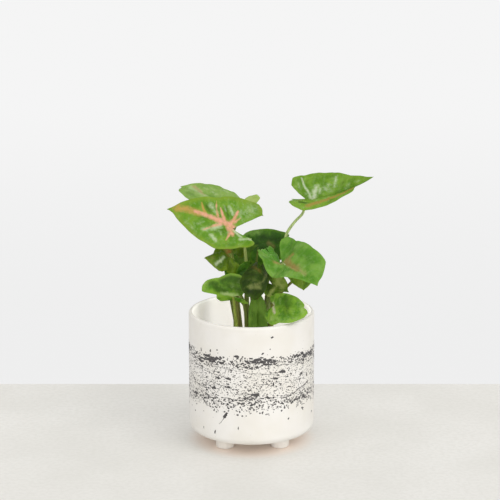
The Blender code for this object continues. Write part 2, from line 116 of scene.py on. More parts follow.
@dataclass
class Leaf:
    """One leaf; a pair of numbers is for the left and the right half, seen along the midrib."""

    name: str
    look: str
    base: tuple                   # where the petiole leaves the soil, x and y
    junction: tuple               # where the petiole joins the blade
    tip: tuple                    # the end of the midrib
    guides: tuple = ()            # points that the petiole passes on its way up
    roll: float = 0.0             # turn of the blade about its midrib
    droop: float = 20.0           # how far the midrib turns down on its way to the tip
    width: tuple = (1.0, 1.0)     # breadth of each half, as a share of the usual
    lobe: tuple = (1.0, 1.0)      # length of each basal lobe, as a share of the usual
    fold: tuple = (10.0, 10.0)    # how far each half rises beside the midrib
    close: tuple = (0.0, 0.0)     # further rise of each half towards the tip
    flare: tuple = (0.0, 0.0)     # further rise of each half towards its basal lobe
    cup: tuple = (-10.0, -10.0)   # further turn of each half from midrib to margin
    rear: tuple = (10.0, 10.0)    # how far each basal lobe turns up
    wave: float = 0.4             # height of the waves of the margin
    quilt: float = 0.35           # how far the blade swells between its veins
    ends: tuple = (152, 152)      # where each half ends at the sinus, degrees from the tip
    left_edge: tuple = ()         # changes of the outline: degrees from the tip, share of reach
    right_edge: tuple = ()


LEAVES = (
    Leaf("leaf_top_left", "pink", (-3, -1), (-16.3, -8, 192.9), (-72, -11.5, 210.8),
         guides=((-4, -1, 140), (-5, -1, 165), (-7.5, -2, 180)), roll=-44, droop=26,
         width=(0.83, 1.12), lobe=(1.05, 1.37), fold=(-3, -1), flare=(10, -11), cup=(-15, 6),
         rear=(65, 36), ends=(156, 128),
         left_edge=((0, 0.98), (45, 1.06), (68, 1.07), (90, 0.88), (116, 0.71), (134, 0.84),
                 (151, 0.99)),
         right_edge=((0, 1.02), (45, 0.88), (90, 1.05), (113, 1.19), (120, 1.1), (127, 0.93))),
    Leaf("leaf_top_left_rear", "pale", (-8.5, 5.5), (-18.7, 32, 202.9), (-62.2, 37, 220.4),
         guides=((-14, 12, 140), (-19, 26, 180)), roll=-14, droop=18,
         width=(0.9, 0.87), lobe=(0.23, 1.67), fold=(5, 17), flare=(-11, -19), cup=(-19, -12),
         rear=(8, 8), ends=(151, 140),
         left_edge=((0, 1.01), (4, 1.06), (12, 1.23), (25, 1.29), (50, 1.09), (80, 0.74))),
    Leaf("leaf_top_middle", "lime", (-3.9, 10.8), (-8, 25.5, 202.4), (7.2, 29.5, 213.2),
         guides=((-7.1, 3.1, 124.1), (-13.6, 1, 139.2), (-18.7, 6.9, 176.6), (-10.8, 22.1, 194.9)),
         roll=20, droop=15,
         width=(1.15, 0.9), lobe=(0.25, 0.25), fold=(5, 5), cup=(-20, -20),
         left_edge=((0, 0.97), (3, 1.03), (9, 1.12), (20, 1.12), (50, 1)),
         right_edge=((0, 0.97), (3, 1.03), (9, 1.12), (20, 1.12), (50, 1))),
    Leaf("leaf_top_right", "bronze", (8, 2), (46.9, 5.5, 216.1), (102.5, -4, 236.5),
         guides=((16, 3, 122), (26, 1, 145), (28, 1.5, 172), (30.4, 2, 185.6), (38.1, 3.5, 196.9),
                 (44, 4.5, 203)), roll=40, droop=-39,
         width=(0.7, 0.51), lobe=(0.98, 0.78), fold=(26, 43), flare=(26, 0), cup=(-12, -42),
         rear=(36, 38), ends=(130, 170),
         left_edge=((0, 1.05), (20, 1.01), (45, 1.13), (75, 1.16), (100, 1.06), (116, 1),
                 (129, 0.73)),
         right_edge=((0, 0.97), (5, 0.78), (12, 0.9), (22, 1.06), (40, 1.06), (70, 1.22),
                 (100, 1.24), (125, 1.1), (150, 0.88), (166, 0.84))),
    Leaf("leaf_right_front", "frosted", (8.9, -6.9), (29.3, -24, 165.1), (55.9, -48, 152),
         guides=((12.3, -1.8, 119.5), (19, -2.2, 140.2), (29.6, -16.4, 160.6)), roll=40, droop=60,
         width=(1.43, 1.07), lobe=(1.56, 2.01), fold=(25, -4), close=(-2, 44), flare=(-3, 46),
         cup=(-16, 12), rear=(25, 39), ends=(167, 160),
         left_edge=((0, 1), (3, 1.02), (10, 1.1), (25, 1.23), (45, 1.02), (70, 0.93), (100, 0.86),
                 (125, 1), (140, 0.95), (152, 0.73), (168, 0.33)),
         right_edge=((0, 0.94), (6, 0.92), (12, 0.83), (25, 0.76), (38, 0.76), (48, 0.84),
                 (72, 0.86), (110, 0.84), (132, 0.96), (146, 0.94), (152, 1.38), (160, 1.25))),
    Leaf("leaf_right_hanging", "olive", (14, -1), (42, -12, 153.5), (45, -22, 141.5),
         guides=((22, -4, 130), (30, -7, 140), (37, -11, 148)), roll=0, droop=30,
         width=(1.55, 1.6), fold=(5, 5)),
    Leaf("leaf_low_right", "bright", (16.5, -14), (19.9, -26.5, 129.4), (46.2, -43.5, 130.2),
         guides=((17.5, -17, 108),), roll=57, droop=52,
         width=(0.79, 1.17), lobe=(0.78, 0.87), fold=(12, 9), flare=(-2, 1), cup=(-8, -13),
         rear=(14, 19), ends=(152, 155),
         left_edge=((0, 1.07), (3, 1.01), (10, 1.11), (25, 1.13), (45, 1.04), (70, 0.92),
                 (120, 0.85)),
         right_edge=((0, 1.03), (3, 1.16), (10, 1.21), (25, 1.19), (45, 1.03), (70, 1.07),
                 (120, 0.79))),
    Leaf("leaf_middle_high", "deep", (2, 5), (6, 12, 173.5), (33.1, 15, 181.5),
         guides=((3, 9, 130), (4, 9, 155)), roll=68, droop=1,
         width=(0.93, 1.44), lobe=(1.16, 1.15), fold=(2, -10), flare=(24, 2), cup=(3, -2),
         rear=(14, -16), ends=(160, 158),
         left_edge=((0, 1), (5, 1.06), (15, 1), (40, 1.02), (80, 1.07), (120, 1.19), (152, 1.2)),
         right_edge=((0, 1), (15, 1.05), (40, 1.18), (80, 1), (120, 0.88), (152, 0.95))),
    Leaf("leaf_left", "rusty", (-10.5, -4), (-21, -4.5, 169.8), (-43, -12, 167.3),
         guides=((-14, -4.5, 135),), roll=-42, droop=60,
         width=(1.49, 0.88), lobe=(1.04, 2.03), fold=(-8, 8), close=(0, -96), flare=(11, 34),
         cup=(-41, 31), rear=(23, -26), ends=(142, 159),
         left_edge=((0, 0.93), (40, 1.09), (80, 0.9), (120, 1.19), (143, 0.92)),
         right_edge=((0, 0.92), (5, 0.67), (15, 0.67), (40, 0.83), (80, 1.09), (120, 1.23),
                 (152, 1.29))),
    Leaf("leaf_middle_left", "deep", (-3.5, -10.5), (-2.2, -9.5, 160), (-13.7, -10.5, 151.6),
         guides=((-4.5, -7, 140),), roll=-75, droop=-20,
         width=(1.3, 0.89), lobe=(0.89, 1.11), fold=(3, 28), flare=(27, 38), cup=(10, -16),
         rear=(17, 28), ends=(159, 160),
         left_edge=((0, 1), (5, 1.12), (15, 1.19), (40, 1.27), (80, 1.11), (120, 0.89),
                 (152, 1.03)),
         right_edge=((0, 1), (5, 1.05), (15, 1.11), (40, 1.11), (80, 0.95), (120, 0.83),
                 (152, 1.03))),
    Leaf("leaf_low_left", "bright", (-11.5, -9.5), (-15.5, -19, 135.4), (-42.9, -19.5, 139.8),
         roll=-62, droop=20,
         width=(0.78, 1.15), lobe=(1.48, 1.1), fold=(-60, 32), close=(28, 0), flare=(6, 13),
         cup=(-14, -24), rear=(10, 8), ends=(160, 160),
         left_edge=((0, 1), (5, 0.6), (12, 0.64), (25, 0.8), (50, 0.93), (80, 0.58), (110, 0.58),
                 (135, 0.89), (160, 0.8)),
         right_edge=((0, 1), (4, 1.1), (10, 1.19), (20, 1.26), (40, 1.15), (70, 1.35), (100, 1.3),
                 (125, 1), (160, 0.8))),
    Leaf("leaf_middle_front", "shade", (0.5, -6), (5, -24.8, 161.3), (-4, -42.3, 141.4),
         guides=((1, -7, 132),), roll=-17, droop=24,
         width=(1.09, 1.06), lobe=(1.1, 1.15), fold=(-28, -18), flare=(-25, -24), cup=(-28, -15),
         rear=(4, -8), ends=(160, 158),
         left_edge=((0, 1), (5, 1.06), (15, 1.28), (40, 1.27), (80, 1), (120, 1.14), (152, 1.2)),
         right_edge=((0, 1), (5, 1.02), (15, 1.06), (40, 1.1), (80, 0.75), (120, 0.8), (152, 1.1))),
    Leaf("leaf_young", "young", (4, -13), (6, -13, 98), (5, -12, 131.5),
         roll=0, droop=5,
         wave=0.2, quilt=0.1,
         width=(0.62, 0.62), lobe=(0.55, 0.55), fold=(35, 35),
         left_edge=((0, 0.97), (3, 1.05), (9, 1.3), (20, 1.35), (50, 1.1), (110, 0.9)),
         right_edge=((0, 0.97), (3, 1.05), (9, 1.3), (20, 1.35), (50, 1.1), (110, 0.9))),
    Leaf("leaf_low_middle", "olive", (15, -7), (18, -8, 143.1), (32.4, -14, 137.6),
         guides=((18, -9, 125),), roll=61, droop=1,
         width=(1.68, 1.67), lobe=(1.1, 2.2), fold=(33, 28), flare=(-32, 28), cup=(7, -50),
         rear=(-19, 35), ends=(160, 160),
         left_edge=((0, 1), (5, 0.96), (15, 1.07), (80, 1.04), (120, 1.09), (152, 1.14)),
         right_edge=((0, 1), (5, 0.81), (15, 0.72), (40, 0.87), (80, 0.95), (120, 0.81),
                 (152, 0.7))),
    Leaf("leaf_middle_hanging", "striped", (3, -2), (16.1, -1.5, 168.1), (24.1, -6.5, 155.1),
         guides=((8, 2, 140), (12, 0, 158)), roll=0, droop=20,
         width=(1.2, 1.2), fold=(5, 5), ends=(172, 172),
         left_edge=((100, 1), (130, 1.15), (152, 1.25), (172, 1.3)),
         right_edge=((100, 1), (130, 1.15), (152, 1.25), (172, 1.3))),
    Leaf("leaf_rear_left", "deep", (-11.6, 13.4), (-23.9, 38.8, 146.7), (-9.3, 52, 161),
         roll=42, droop=25,
         lobe=(0.7, 0.7), fold=(12, 12)),
    Leaf("leaf_rear_right", "deep", (9.1, 10.6), (14, 16.8, 141.8), (31.7, 18.2, 158.5),
         roll=-12, droop=25,
         lobe=(0.7, 0.7), fold=(12, 12)),
    Leaf("leaf_rear", "young", (5.7, 14.2), (-4.7, 22.1, 153), (15.5, 34.1, 174),
         roll=61, droop=30,
         width=(0.81, 0.86), lobe=(0.7, 0.7), fold=(12, 12)),
    Leaf("leaf_rear_low", "deep", (-14.1, 3.9), (-14.1, 24.2, 125.9), (-4.3, 36, 104.4),
         roll=42, droop=25,
         width=(0.85, 0.85), lobe=(0.7, 0.7), fold=(12, 12)),
)


@dataclass
class Look:
    """The colours of a leaf, linear."""

    slot: str
    dark: tuple
    light: tuple
    margin: tuple
    pale: tuple          # frosted patches, and the painted highlights and sheen of the pale marks
    rib: tuple           # veins beside the junction
    far: tuple           # veins towards the tip
    under: tuple
    petiole: tuple
    stripes: float = 0.3    # strength of the paler bands along the side veins


LOOKS = {
    "pink": Look("fresh_green_leaf", (0.085, 0.22, 0.008), (0.15, 0.29, 0.02), (0.21, 0.29, 0.025),
                 (0.46, 0.54, 0.34), (0.76, 0.35, 0.26), (0.48, 0.28, 0.08), (0.16, 0.27, 0.04),
                 (0.36, 0.44, 0.13), stripes=0.12),
    "pale": Look("fresh_green_leaf", (0.13, 0.26, 0.035), (0.23, 0.36, 0.08), (0.20, 0.33, 0.05),
                 (0.42, 0.52, 0.27), (0.40, 0.29, 0.16), (0.38, 0.30, 0.13), (0.16, 0.26, 0.06),
                 (0.30, 0.38, 0.09), stripes=0.15),
    "lime": Look("yellow_green_leaf", (0.26, 0.39, 0.08), (0.37, 0.48, 0.13), (0.32, 0.46, 0.10),
                 (0.42, 0.56, 0.22), (0.45, 0.50, 0.20), (0.40, 0.50, 0.15), (0.26, 0.36, 0.10),
                 (0.30, 0.40, 0.10), stripes=0.1),
    "bronze": Look("fresh_green_leaf", (0.085, 0.20, 0.008), (0.17, 0.31, 0.03), (0.17, 0.29, 0.025),
                   (0.50, 0.57, 0.40), (0.42, 0.26, 0.08), (0.33, 0.22, 0.05), (0.05, 0.08, 0.01),
                   (0.46, 0.58, 0.22), stripes=0.1),
    "frosted": Look("fresh_green_leaf", (0.07, 0.21, 0.012), (0.16, 0.32, 0.045), (0.15, 0.31, 0.035),
                    (0.33, 0.48, 0.22), (0.30, 0.21, 0.065), (0.34, 0.32, 0.12), (0.14, 0.25, 0.05),
                    (0.22, 0.30, 0.07), stripes=0.15),
    "olive": Look("yellow_green_leaf", (0.05, 0.13, 0.003), (0.13, 0.22, 0.012), (0.17, 0.25, 0.02),
                  (0.34, 0.40, 0.11), (0.24, 0.26, 0.06), (0.20, 0.26, 0.04), (0.13, 0.20, 0.03),
                  (0.24, 0.26, 0.06), stripes=0.1),
    # the whitish rib colour of this look is for the pale junction of the low right leaf, with a painted
    # highlight on it
    "bright": Look("fresh_green_leaf", (0.05, 0.17, 0.005), (0.19, 0.36, 0.03), (0.24, 0.40, 0.05),
                   (0.38, 0.50, 0.20), (0.62, 0.55, 0.42), (0.30, 0.44, 0.14), (0.30, 0.40, 0.08),
                   (0.28, 0.35, 0.06), stripes=0.1),
    # Painted shade: a darker copy of the greens for leaves deep in the plant's middle and at its rear
    "deep": Look("deep_green_leaf", (0.020, 0.075, 0.002), (0.05, 0.14, 0.006), (0.11, 0.22, 0.01),
                 (0.14, 0.26, 0.05), (0.16, 0.13, 0.04), (0.10, 0.16, 0.02), (0.05, 0.10, 0.02),
                 (0.14, 0.18, 0.03), stripes=0.15),
    "striped": Look("deep_green_leaf", (0.05, 0.19, 0.012), (0.11, 0.30, 0.03), (0.28, 0.42, 0.14),
                    (0.32, 0.48, 0.18), (0.20, 0.30, 0.08), (0.20, 0.34, 0.08), (0.10, 0.20, 0.03),
                    (0.18, 0.24, 0.04), stripes=0.7),
    "rusty": Look("deep_green_leaf", (0.05, 0.11, 0.003), (0.12, 0.20, 0.008), (0.17, 0.24, 0.015),
                  (0.40, 0.48, 0.30), (0.30, 0.13, 0.03), (0.22, 0.24, 0.06), (0.12, 0.18, 0.03),
                  (0.20, 0.20, 0.05), stripes=0.1),
    "shade": Look("deep_green_leaf", (0.012, 0.033, 0.001), (0.036, 0.072, 0.003), (0.036, 0.072, 0.003),
                  (0.17, 0.20, 0.06), (0.20, 0.06, 0.02), (0.10, 0.12, 0.02), (0.04, 0.08, 0.01),
                  (0.14, 0.15, 0.04), stripes=0.1),
    "young": Look("deep_green_leaf", (0.075, 0.16, 0.015), (0.13, 0.24, 0.03), (0.08, 0.17, 0.015),
                  (0.18, 0.30, 0.07), (0.14, 0.26, 0.04), (0.12, 0.24, 0.04), (0.09, 0.19, 0.02),
                  (0.20, 0.26, 0.04), stripes=0.1),
}

# Marks on the leaves, picked in the photograph: what is painted, its path in the photograph's
# pixels, half its breadth there at either end, and its strength
# The pale marks hold real frosting and painted highlights and sheen; the dark marks are mostly painted
# shade, with some real darker green
PHOTO_MARKS = {
    "leaf_top_left": [
        ("rib", [(233, 227), (226, 223.5), (216, 219.5), (205, 215.5), (194, 211)], 3.0, 1.3, 1),
        ("far", [(200, 213), (188, 209.5), (176, 207.5)], 2.6, 3.4, 0.85),
        ("far", [(206, 215), (204, 209), (202, 202)], 1.7, 0.6, 0.85),
        ("rib", [(226, 223), (223, 215), (220, 207)], 2.2, 0.7, 0.9),
        ("rib", [(219, 219), (216, 208), (217, 200)], 1.5, 0.5, 0.7),
        ("rib", [(231, 225), (235, 219), (238.5, 211)], 2.4, 0.8, 0.95),
        ("rib", [(233, 224), (241, 218)], 1.6, 0.5, 0.7),
        ("rib", [(229, 227), (231.5, 235)], 2.6, 2.4, 0.95),
        ("rib", [(231, 233), (225, 241)], 1.9, 0.5, 0.75),
        ("rib", [(223, 222.5), (213, 226.5), (202, 230)], 2.2, 0.6, 0.75),
        ("pale", [(220, 225), (212, 229), (202, 230.5)], 2.8, 2.0, 0.75),
        ("pale", [(233.5, 229.5), (242, 238)], 1.6, 1.3, 0.9),
        ("pale", [(240, 214), (254, 208)], 5.5, 4.5, 0.4),
        ("pale", [(211, 204.5), (216, 213)], 2.2, 1.8, 0.7),
        ("pale", [(230, 207), (233, 216)], 1.8, 1.4, 0.75),
        ("pale", [(224, 205), (226, 212)], 1.6, 1.2, 0.35),
        ("pale", [(212, 235), (215.5, 242)], 2.0, 1.8, 0.85),
        ("pale", [(219, 231), (222, 236)], 1.6, 1.4, 0.5),
        ("pale", [(240, 239), (247, 238.5), (254, 240.5)], 1.5, 1.3, 0.85),
        ("pale", [(198, 224), (204, 221)], 1.8, 1.4, 0.3),
        ("pale", [(186, 221), (196, 231)], 2.2, 1.8, 0.3),
        ("dark", [(222, 231), (224, 234)], 2.4, 2.0, 0.5),
        ("dark", [(206, 206), (211, 213)], 2.4, 2.0, 0.6),
        ("dark", [(213, 219), (196, 216)], 1.6, 1.4, 0.4),
        ("dark", [(226, 229), (214, 233)], 2.2, 1.8, 0.45),
        ("dark", [(226, 207), (229, 216)], 2.0, 1.8, 0.55),
        ("dark", [(226, 243), (240, 246)], 3.0, 2.0, 0.3),
    ],
    "leaf_top_left_rear": [
        ("rib", [(194, 186), (198.5, 190), (203, 195)], 2.2, 1.9, 0.75),
        ("pale", [(190, 187), (197, 190), (205, 197)], 4.0, 3.6, 0.6),
        ("pale", [(206, 188), (217, 195)], 2.4, 2.0, 0.45),
        ("pale", [(224, 190), (230, 192)], 2.0, 1.6, 0.45),
        ("dark", [(186, 192), (193, 195)], 2.6, 2.0, 0.35),
        ("dark", [(203, 186), (210, 189)], 2.0, 1.8, 0.25),
    ],
    "leaf_top_right": [
        ("far", [(308, 205), (318, 202), (330, 198), (342, 193), (353, 187)], 4.0, 2.4, 0.95),
        ("pale", [(302, 178), (305, 187), (309.5, 195), (311.5, 200)], 1.0, 1.3, 0.85),
        ("pale", [(299, 182), (300, 190)], 2.2, 1.8, 0.3),
        ("pale", [(316.5, 186), (314.5, 194), (313.5, 200)], 2.6, 1.9, 0.9),
        ("pale", [(320, 188), (319, 194)], 2.2, 1.6, 0.6),
        ("pale", [(323, 187), (332, 191)], 2.8, 2.6, 0.45),
        ("pale", [(327, 184), (336, 186)], 2.2, 2.2, 0.4),
        ("pale", [(336.5, 176), (334, 188)], 1.9, 1.5, 0.65),
        ("pale", [(346, 187), (349, 182)], 2.0, 1.6, 0.4),
        ("pale", [(355, 181), (361, 180)], 1.6, 1.2, 0.3),
        ("dark", [(299.5, 201.5), (307, 203)], 2.5, 2.2, 0.9),
        ("far", [(296, 200), (305, 200)], 1.2, 1.0, 0.5),
        ("dark", [(340, 186), (345, 178)], 3.0, 2.4, 0.4),
        ("dark", [(306, 181), (313, 179)], 2.6, 2.2, 0.3),
        ("dark", [(326, 196), (340, 190)], 1.6, 1.2, 0.4),
    ],
    "leaf_right_front": [
        ("rib", [(276, 262), (282, 262.5), (289, 259), (294, 255)], 1.7, 1.4, 0.75),
        ("rib", [(286, 261), (292, 266), (298, 270)], 2.4, 2.0, 0.95),
        ("far", [(297, 268), (306, 274)], 2.4, 1.8, 0.6),
        ("dark", [(305, 258), (314, 262)], 3.0, 2.6, 0.35),
        ("dark", [(290, 246), (295, 253)], 2.8, 2.4, 0.35),
    ],
    "leaf_middle_high": [
        ("rib", [(270, 243), (274, 246)], 2.4, 2.0, 0.6),
        ("pale", [(242, 235), (250, 232.5), (260, 232)], 3.4, 2.8, 0.8),
        ("dark", [(262, 236), (272, 240), (280, 240)], 4.5, 3.6, 0.7),
        ("dark", [(256, 244), (266, 252)], 5.0, 4.0, 0.6),
    ],
    "leaf_left": [
        ("rib", [(226, 248), (227, 251), (228, 254)], 2.6, 2.0, 0.95),
        ("pale", [(217, 264), (221, 260.5), (225, 257)], 1.1, 0.9, 0.95),
        ("pale", [(220, 258), (222, 263)], 0.9, 0.6, 0.6),
        ("far", [(230, 255), (236, 257), (241, 260)], 1.3, 1.1, 0.8),
        ("far", [(214, 257), (205, 257)], 1.4, 1.0, 0.5),
        ("dark", [(228, 262), (232, 268)], 3.0, 3.0, 0.5),
    ],
    "leaf_middle_left": [],
    "leaf_low_left": [
        ("pale", [(204, 282), (206, 289)], 2.6, 2.0, 0.4),
        ("dark", [(211, 282), (218, 288), (226, 292)], 3.6, 3.4, 0.9),
        ("dark", [(224, 277), (240, 280)], 5.2, 5.2, 1),
        ("dark", [(227, 285), (241, 291)], 4.2, 4.2, 0.85),
        ("pale", [(238, 283), (243, 289)], 2.6, 2.2, 0.3),
        ("pale", [(233, 285), (237, 290)], 2.2, 1.8, 0.3),
        ("pale", [(222, 294.5), (232, 295), (238, 296)], 1.8, 1.6, 0.8),
    ],
    "leaf_middle_front": [
        ("rib", [(254, 266), (257, 269), (260, 272)], 2.6, 1.8, 0.5),
        ("pale", [(267, 275), (262, 282), (256, 285), (248, 287)], 1.5, 1.6, 0.65),
        ("pale", [(251, 286.5), (261, 287)], 2.2, 2.0, 0.7),
        ("pale", [(249, 279), (256, 281)], 2.0, 1.6, 0.35),
        ("pale", [(262, 273), (264, 279)], 1.4, 1.2, 0.25),
        ("dark", [(247, 291), (262, 293)], 4.0, 3.6, 0.6),
        ("dark", [(246, 273), (254, 276)], 3.0, 2.4, 0.5),
    ],
    "leaf_young": [
        ("pale", [(257, 303), (256.5, 325)], 2.4, 2.0, 0.3),
        ("dark", [(253, 300), (252.5, 324)], 1.4, 1.4, 0.35),
    ],
    "leaf_low_middle": [
        ("dark", [(266, 279), (270, 289)], 4.2, 3.6, 0.9),
        ("pale", [(277, 281), (283, 287)], 3.6, 3.2, 0.8),
        ("pale", [(276, 286), (272, 291), (268, 297)], 1.9, 1.7, 0.8),
    ],
    "leaf_low_right": [
        # this rib mark is the pale junction with a painted highlight on it
        ("rib", [(272.5, 303), (274, 308), (276, 313)], 1.9, 1.3, 0.85),
        ("pale", [(298, 303), (302, 312)], 3.0, 2.6, 0.35),
        ("pale", [(270, 318), (284, 320), (296, 319)], 2.4, 2.0, 0.35),
        ("pale", [(279, 299), (281, 305)], 2.0, 1.6, 0.3),
        ("dark", [(285, 300), (287, 311)], 5.5, 4.6, 0.6),
        ("dark", [(266, 304), (270, 299)], 1.8, 1.6, 0.3),
    ],
}

# Marks of the other leaves, their paths and breadths on the flat blade in units of the midrib
PLAIN_MARKS = (
    ("pale", ((0, 0), (0.8, 0)), 0.02, 0.01, 0.5),
    ("pale", ((0.05, 0.02), (0.2, 0.2)), 0.02, 0.01, 0.3),
    ("pale", ((0.05, -0.02), (0.2, -0.2)), 0.02, 0.01, 0.3),
)
PAINT_KINDS = ("rib", "far", "pale", "dark")

# How a mark is carried from the photograph onto a flat blade
PHOTO_SIDE = 500
PIXEL_AT_AXIS = 0.000884
SEARCH_ANGLE = 172        # degrees from the tip, to either side
SEARCH_REACH = 1.1        # in units of the midrib
SEARCH_RAYS = 345
SEARCH_RINGS = 181
SAME_PLACE = 0.7          # pixels between places that count as equally near
CLOSE_PIXEL = 0.9         # pixels within which a place always counts
OFF_BLADE = 3.0           # pixels from which a place counts as off the blade
LEAST_FIRST = 0.01        # least half breadths, in units of the midrib
LEAST_LAST = 0.008

# Relief of a blade, across and along in units of the midrib, heights in millimetres
MARGIN_WAVES = 4.0
VEINS = 6.5
VEIN_SLANT = 0.62
VEIN_CURVE = 0.5
GROOVE_DEPTH = 0.45
GROOVE_WIDTH = 0.028
FULL_RELIEF_LENGTH = 0.045

# Camera: the photograph's place of view, taken from the ellipses of the pot's rim and its verticals
CAMERA_DISTANCE = 1.800
CAMERA_ELEVATION = math.radians(18.2)
CAMERA_PITCH = math.radians(14.6)
CAMERA_AIM_HEIGHT = 0.055
CAMERA_LENS = 146.5
CAMERA_SENSOR = 36.0
CAMERA_SIDE = -0.00133
CAMERA_PLACE = (AXIS_X + CAMERA_SIDE, -CAMERA_DISTANCE * math.cos(CAMERA_ELEVATION),
                CAMERA_AIM_HEIGHT + CAMERA_DISTANCE * math.sin(CAMERA_ELEVATION))


def smooth_curve(knots, values, at):
    """Reads a smooth curve through (knots, values) at the given places."""
    slopes = np.gradient(values, knots)
    index = np.clip(np.searchsorted(knots, at) - 1, 0, len(knots) - 2)
    step = knots[index + 1] - knots[index]
    t = (at - knots[index]) / step
    start = (2 * t**3 - 3 * t**2 + 1) * values[index] + (t**3 - 2 * t**2 + t) * step * slopes[index]
    end = (3 * t**2 - 2 * t**3) * values[index + 1] + (t**3 - t**2) * step * slopes[index + 1]
    return start + end


def unit(vector):
    """The vector at length 1."""
    return vector / np.linalg.norm(vector)


def turned(vector, axis, angle):
    """The vector turned about a unit axis."""
    across = np.cross(axis, vector)
    level = axis * (axis @ vector)
    return vector * math.cos(angle) + across * math.sin(angle) + level * (1 - math.cos(angle))


@dataclass
class Midrib:
    """A midrib as an arc: its start, first direction, the blade's normal and left there, length, turn."""

    start: np.ndarray
    along: np.ndarray
    normal: np.ndarray
    left: np.ndarray
    length: float
    turn: float


def midrib_of(leaf):
    """The arc of constant curvature from the junction to the tip, in metres."""
    junction = np.array(leaf.junction, float) * MM
    chord = np.array(leaf.tip, float) * MM - junction
    reach = np.linalg.norm(chord)
    along = chord / reach
    up = np.array([0.0, 0.0, 1.0]) if abs(along[2]) < NEARLY_UPRIGHT else np.array([0.0, -1.0, 0.0])
    normal = turned(unit(up - along * (along @ up)), along, math.radians(leaf.roll))
    left = np.cross(normal, along)
    half_turn = math.radians(leaf.droop) / 2
    length = reach * half_turn / math.sin(half_turn)
    return Midrib(junction, turned(along, left, -half_turn), turned(normal, left, -half_turn), left,
                  length, 2 * half_turn)


def by_half(pair, is_left):
    """Takes the left or the right value for each point."""
    return np.where(is_left, pair[0], pair[1])


def blade_surface(leaf, flat, lift=0.0):
    """Bends flat points, in units of the midrib's length, into the leaf's place."""
    rib = midrib_of(leaf)
    is_left = flat[..., 1] > 0
    along = flat[..., 0] * rib.length
    along = np.where(along < 0, along * by_half(leaf.lobe, is_left), along)
    across = np.abs(flat[..., 1]) * rib.length * by_half(leaf.width, is_left)

    # Across the blade each half is an arc that starts at its fold angle
    toward_tip = np.clip(along / rib.length, 0, 1)
    toward_lobe = np.clip(-along / (LOBE_REACH * rib.length), 0, 1)
    fold = np.radians(by_half(leaf.fold, is_left) + by_half(leaf.close, is_left) * toward_tip
                      + by_half(leaf.flare, is_left) * toward_lobe)
    half_width = HALF_WIDTH * rib.length * by_half(leaf.width, is_left)
    bend = np.radians(by_half(leaf.cup, is_left)) / half_width
    bend = np.where(np.abs(bend) < NEARLY_STRAIGHT, NEARLY_STRAIGHT, bend)
    sideways = (np.sin(fold + bend * across) - np.sin(fold)) / bend
    sideways = np.where(is_left, sideways, -sideways)
    raised = (np.cos(fold) - np.cos(fold + bend * across)) / bend + lift

    # Along the blade the midrib droops toward the tip, and each lobe turns up behind the junction
    blend = np.clip(flat[..., 1] / RIB_BLEND, -1, 1) / 2 + 0.5
    rear = np.radians(leaf.rear[0] * blend + leaf.rear[1] * (1 - blend)) / (LOBE_REACH * rib.length)
    rate = np.where(along >= 0, rib.turn / rib.length, -rear)
    rate = np.where(np.abs(rate) < NEARLY_STRAIGHT, NEARLY_STRAIGHT, rate)
    angle = rate * along
    forward = np.sin(angle) / rate
    dropped = (np.cos(angle) - 1) / rate
    local_normal = rib.normal * np.cos(angle)[..., None] + rib.along * np.sin(angle)[..., None]
    return (AXIS + rib.start + forward[..., None] * rib.along + dropped[..., None] * rib.normal
            + sideways[..., None] * rib.left + raised[..., None] * local_normal)


def edge_share(edge, degrees):
    """How far the outline's reach is changed at each direction."""
    if not edge:
        return np.ones_like(degrees)
    knots = np.array([point[0] for point in edge], float)
    shares = np.array([point[1] for point in edge], float)
    return np.interp(degrees, knots, shares)


def flat_blade(leaf, rays, rings):
    """The flat blade as a polar grid from the junction: points, and the ray and ring of each."""
    knots = np.array([point[0] for point in HALF_OUTLINE])
    reaches = np.array([point[1] for point in HALF_OUTLINE])
    ray, ring = np.meshgrid(np.linspace(-1, 1, rays + 1), np.linspace(0, 1, rings + 1), indexing="ij")
    degrees = by_half(leaf.ends, ray > 0) * np.abs(ray) ** RAY_CROWDING
    share = np.where(ray > 0, edge_share(leaf.left_edge, degrees), edge_share(leaf.right_edge, degrees))
    usual = smooth_curve(knots, reaches, np.minimum(degrees, knots[-1]))
    reach = usual * share * ring ** RING_CROWDING
    angle = np.radians(degrees) * np.sign(ray)
    return np.stack([reach * np.cos(angle), reach * np.sin(angle)], axis=-1), ray, ring


def ramp(value, low, high):
    """Rises smoothly from 0 to 1 between low and high."""
    t = np.clip((value - low) / (high - low), 0, 1)
    return t * t * (3 - 2 * t)


def away_from(x, y, start, end):
    """The distance of each point from a line, and how far along it the nearest place is."""
    dx, dy = end[0] - start[0], end[1] - start[1]
    t = ((x - start[0]) * dx + (y - start[1]) * dy) / max(dx * dx + dy * dy, NEARLY_STRAIGHT)
    t = np.clip(t, 0, 1)
    return np.hypot(x - start[0] - t * dx, y - start[1] - t * dy), t


def seen_at(points):
    """The column and row of points in the photograph, and their distance from its camera."""
    offset = points - np.array(CAMERA_PLACE)
    ahead = offset[..., 1] * math.cos(CAMERA_PITCH) - offset[..., 2] * math.sin(CAMERA_PITCH)
    up = offset[..., 1] * math.sin(CAMERA_PITCH) + offset[..., 2] * math.cos(CAMERA_PITCH)
    scale = PHOTO_SIDE * CAMERA_LENS / CAMERA_SENSOR / ahead
    middle = PHOTO_SIDE / 2
    return middle + scale * offset[..., 0], middle - scale * up, np.linalg.norm(offset, axis=-1)


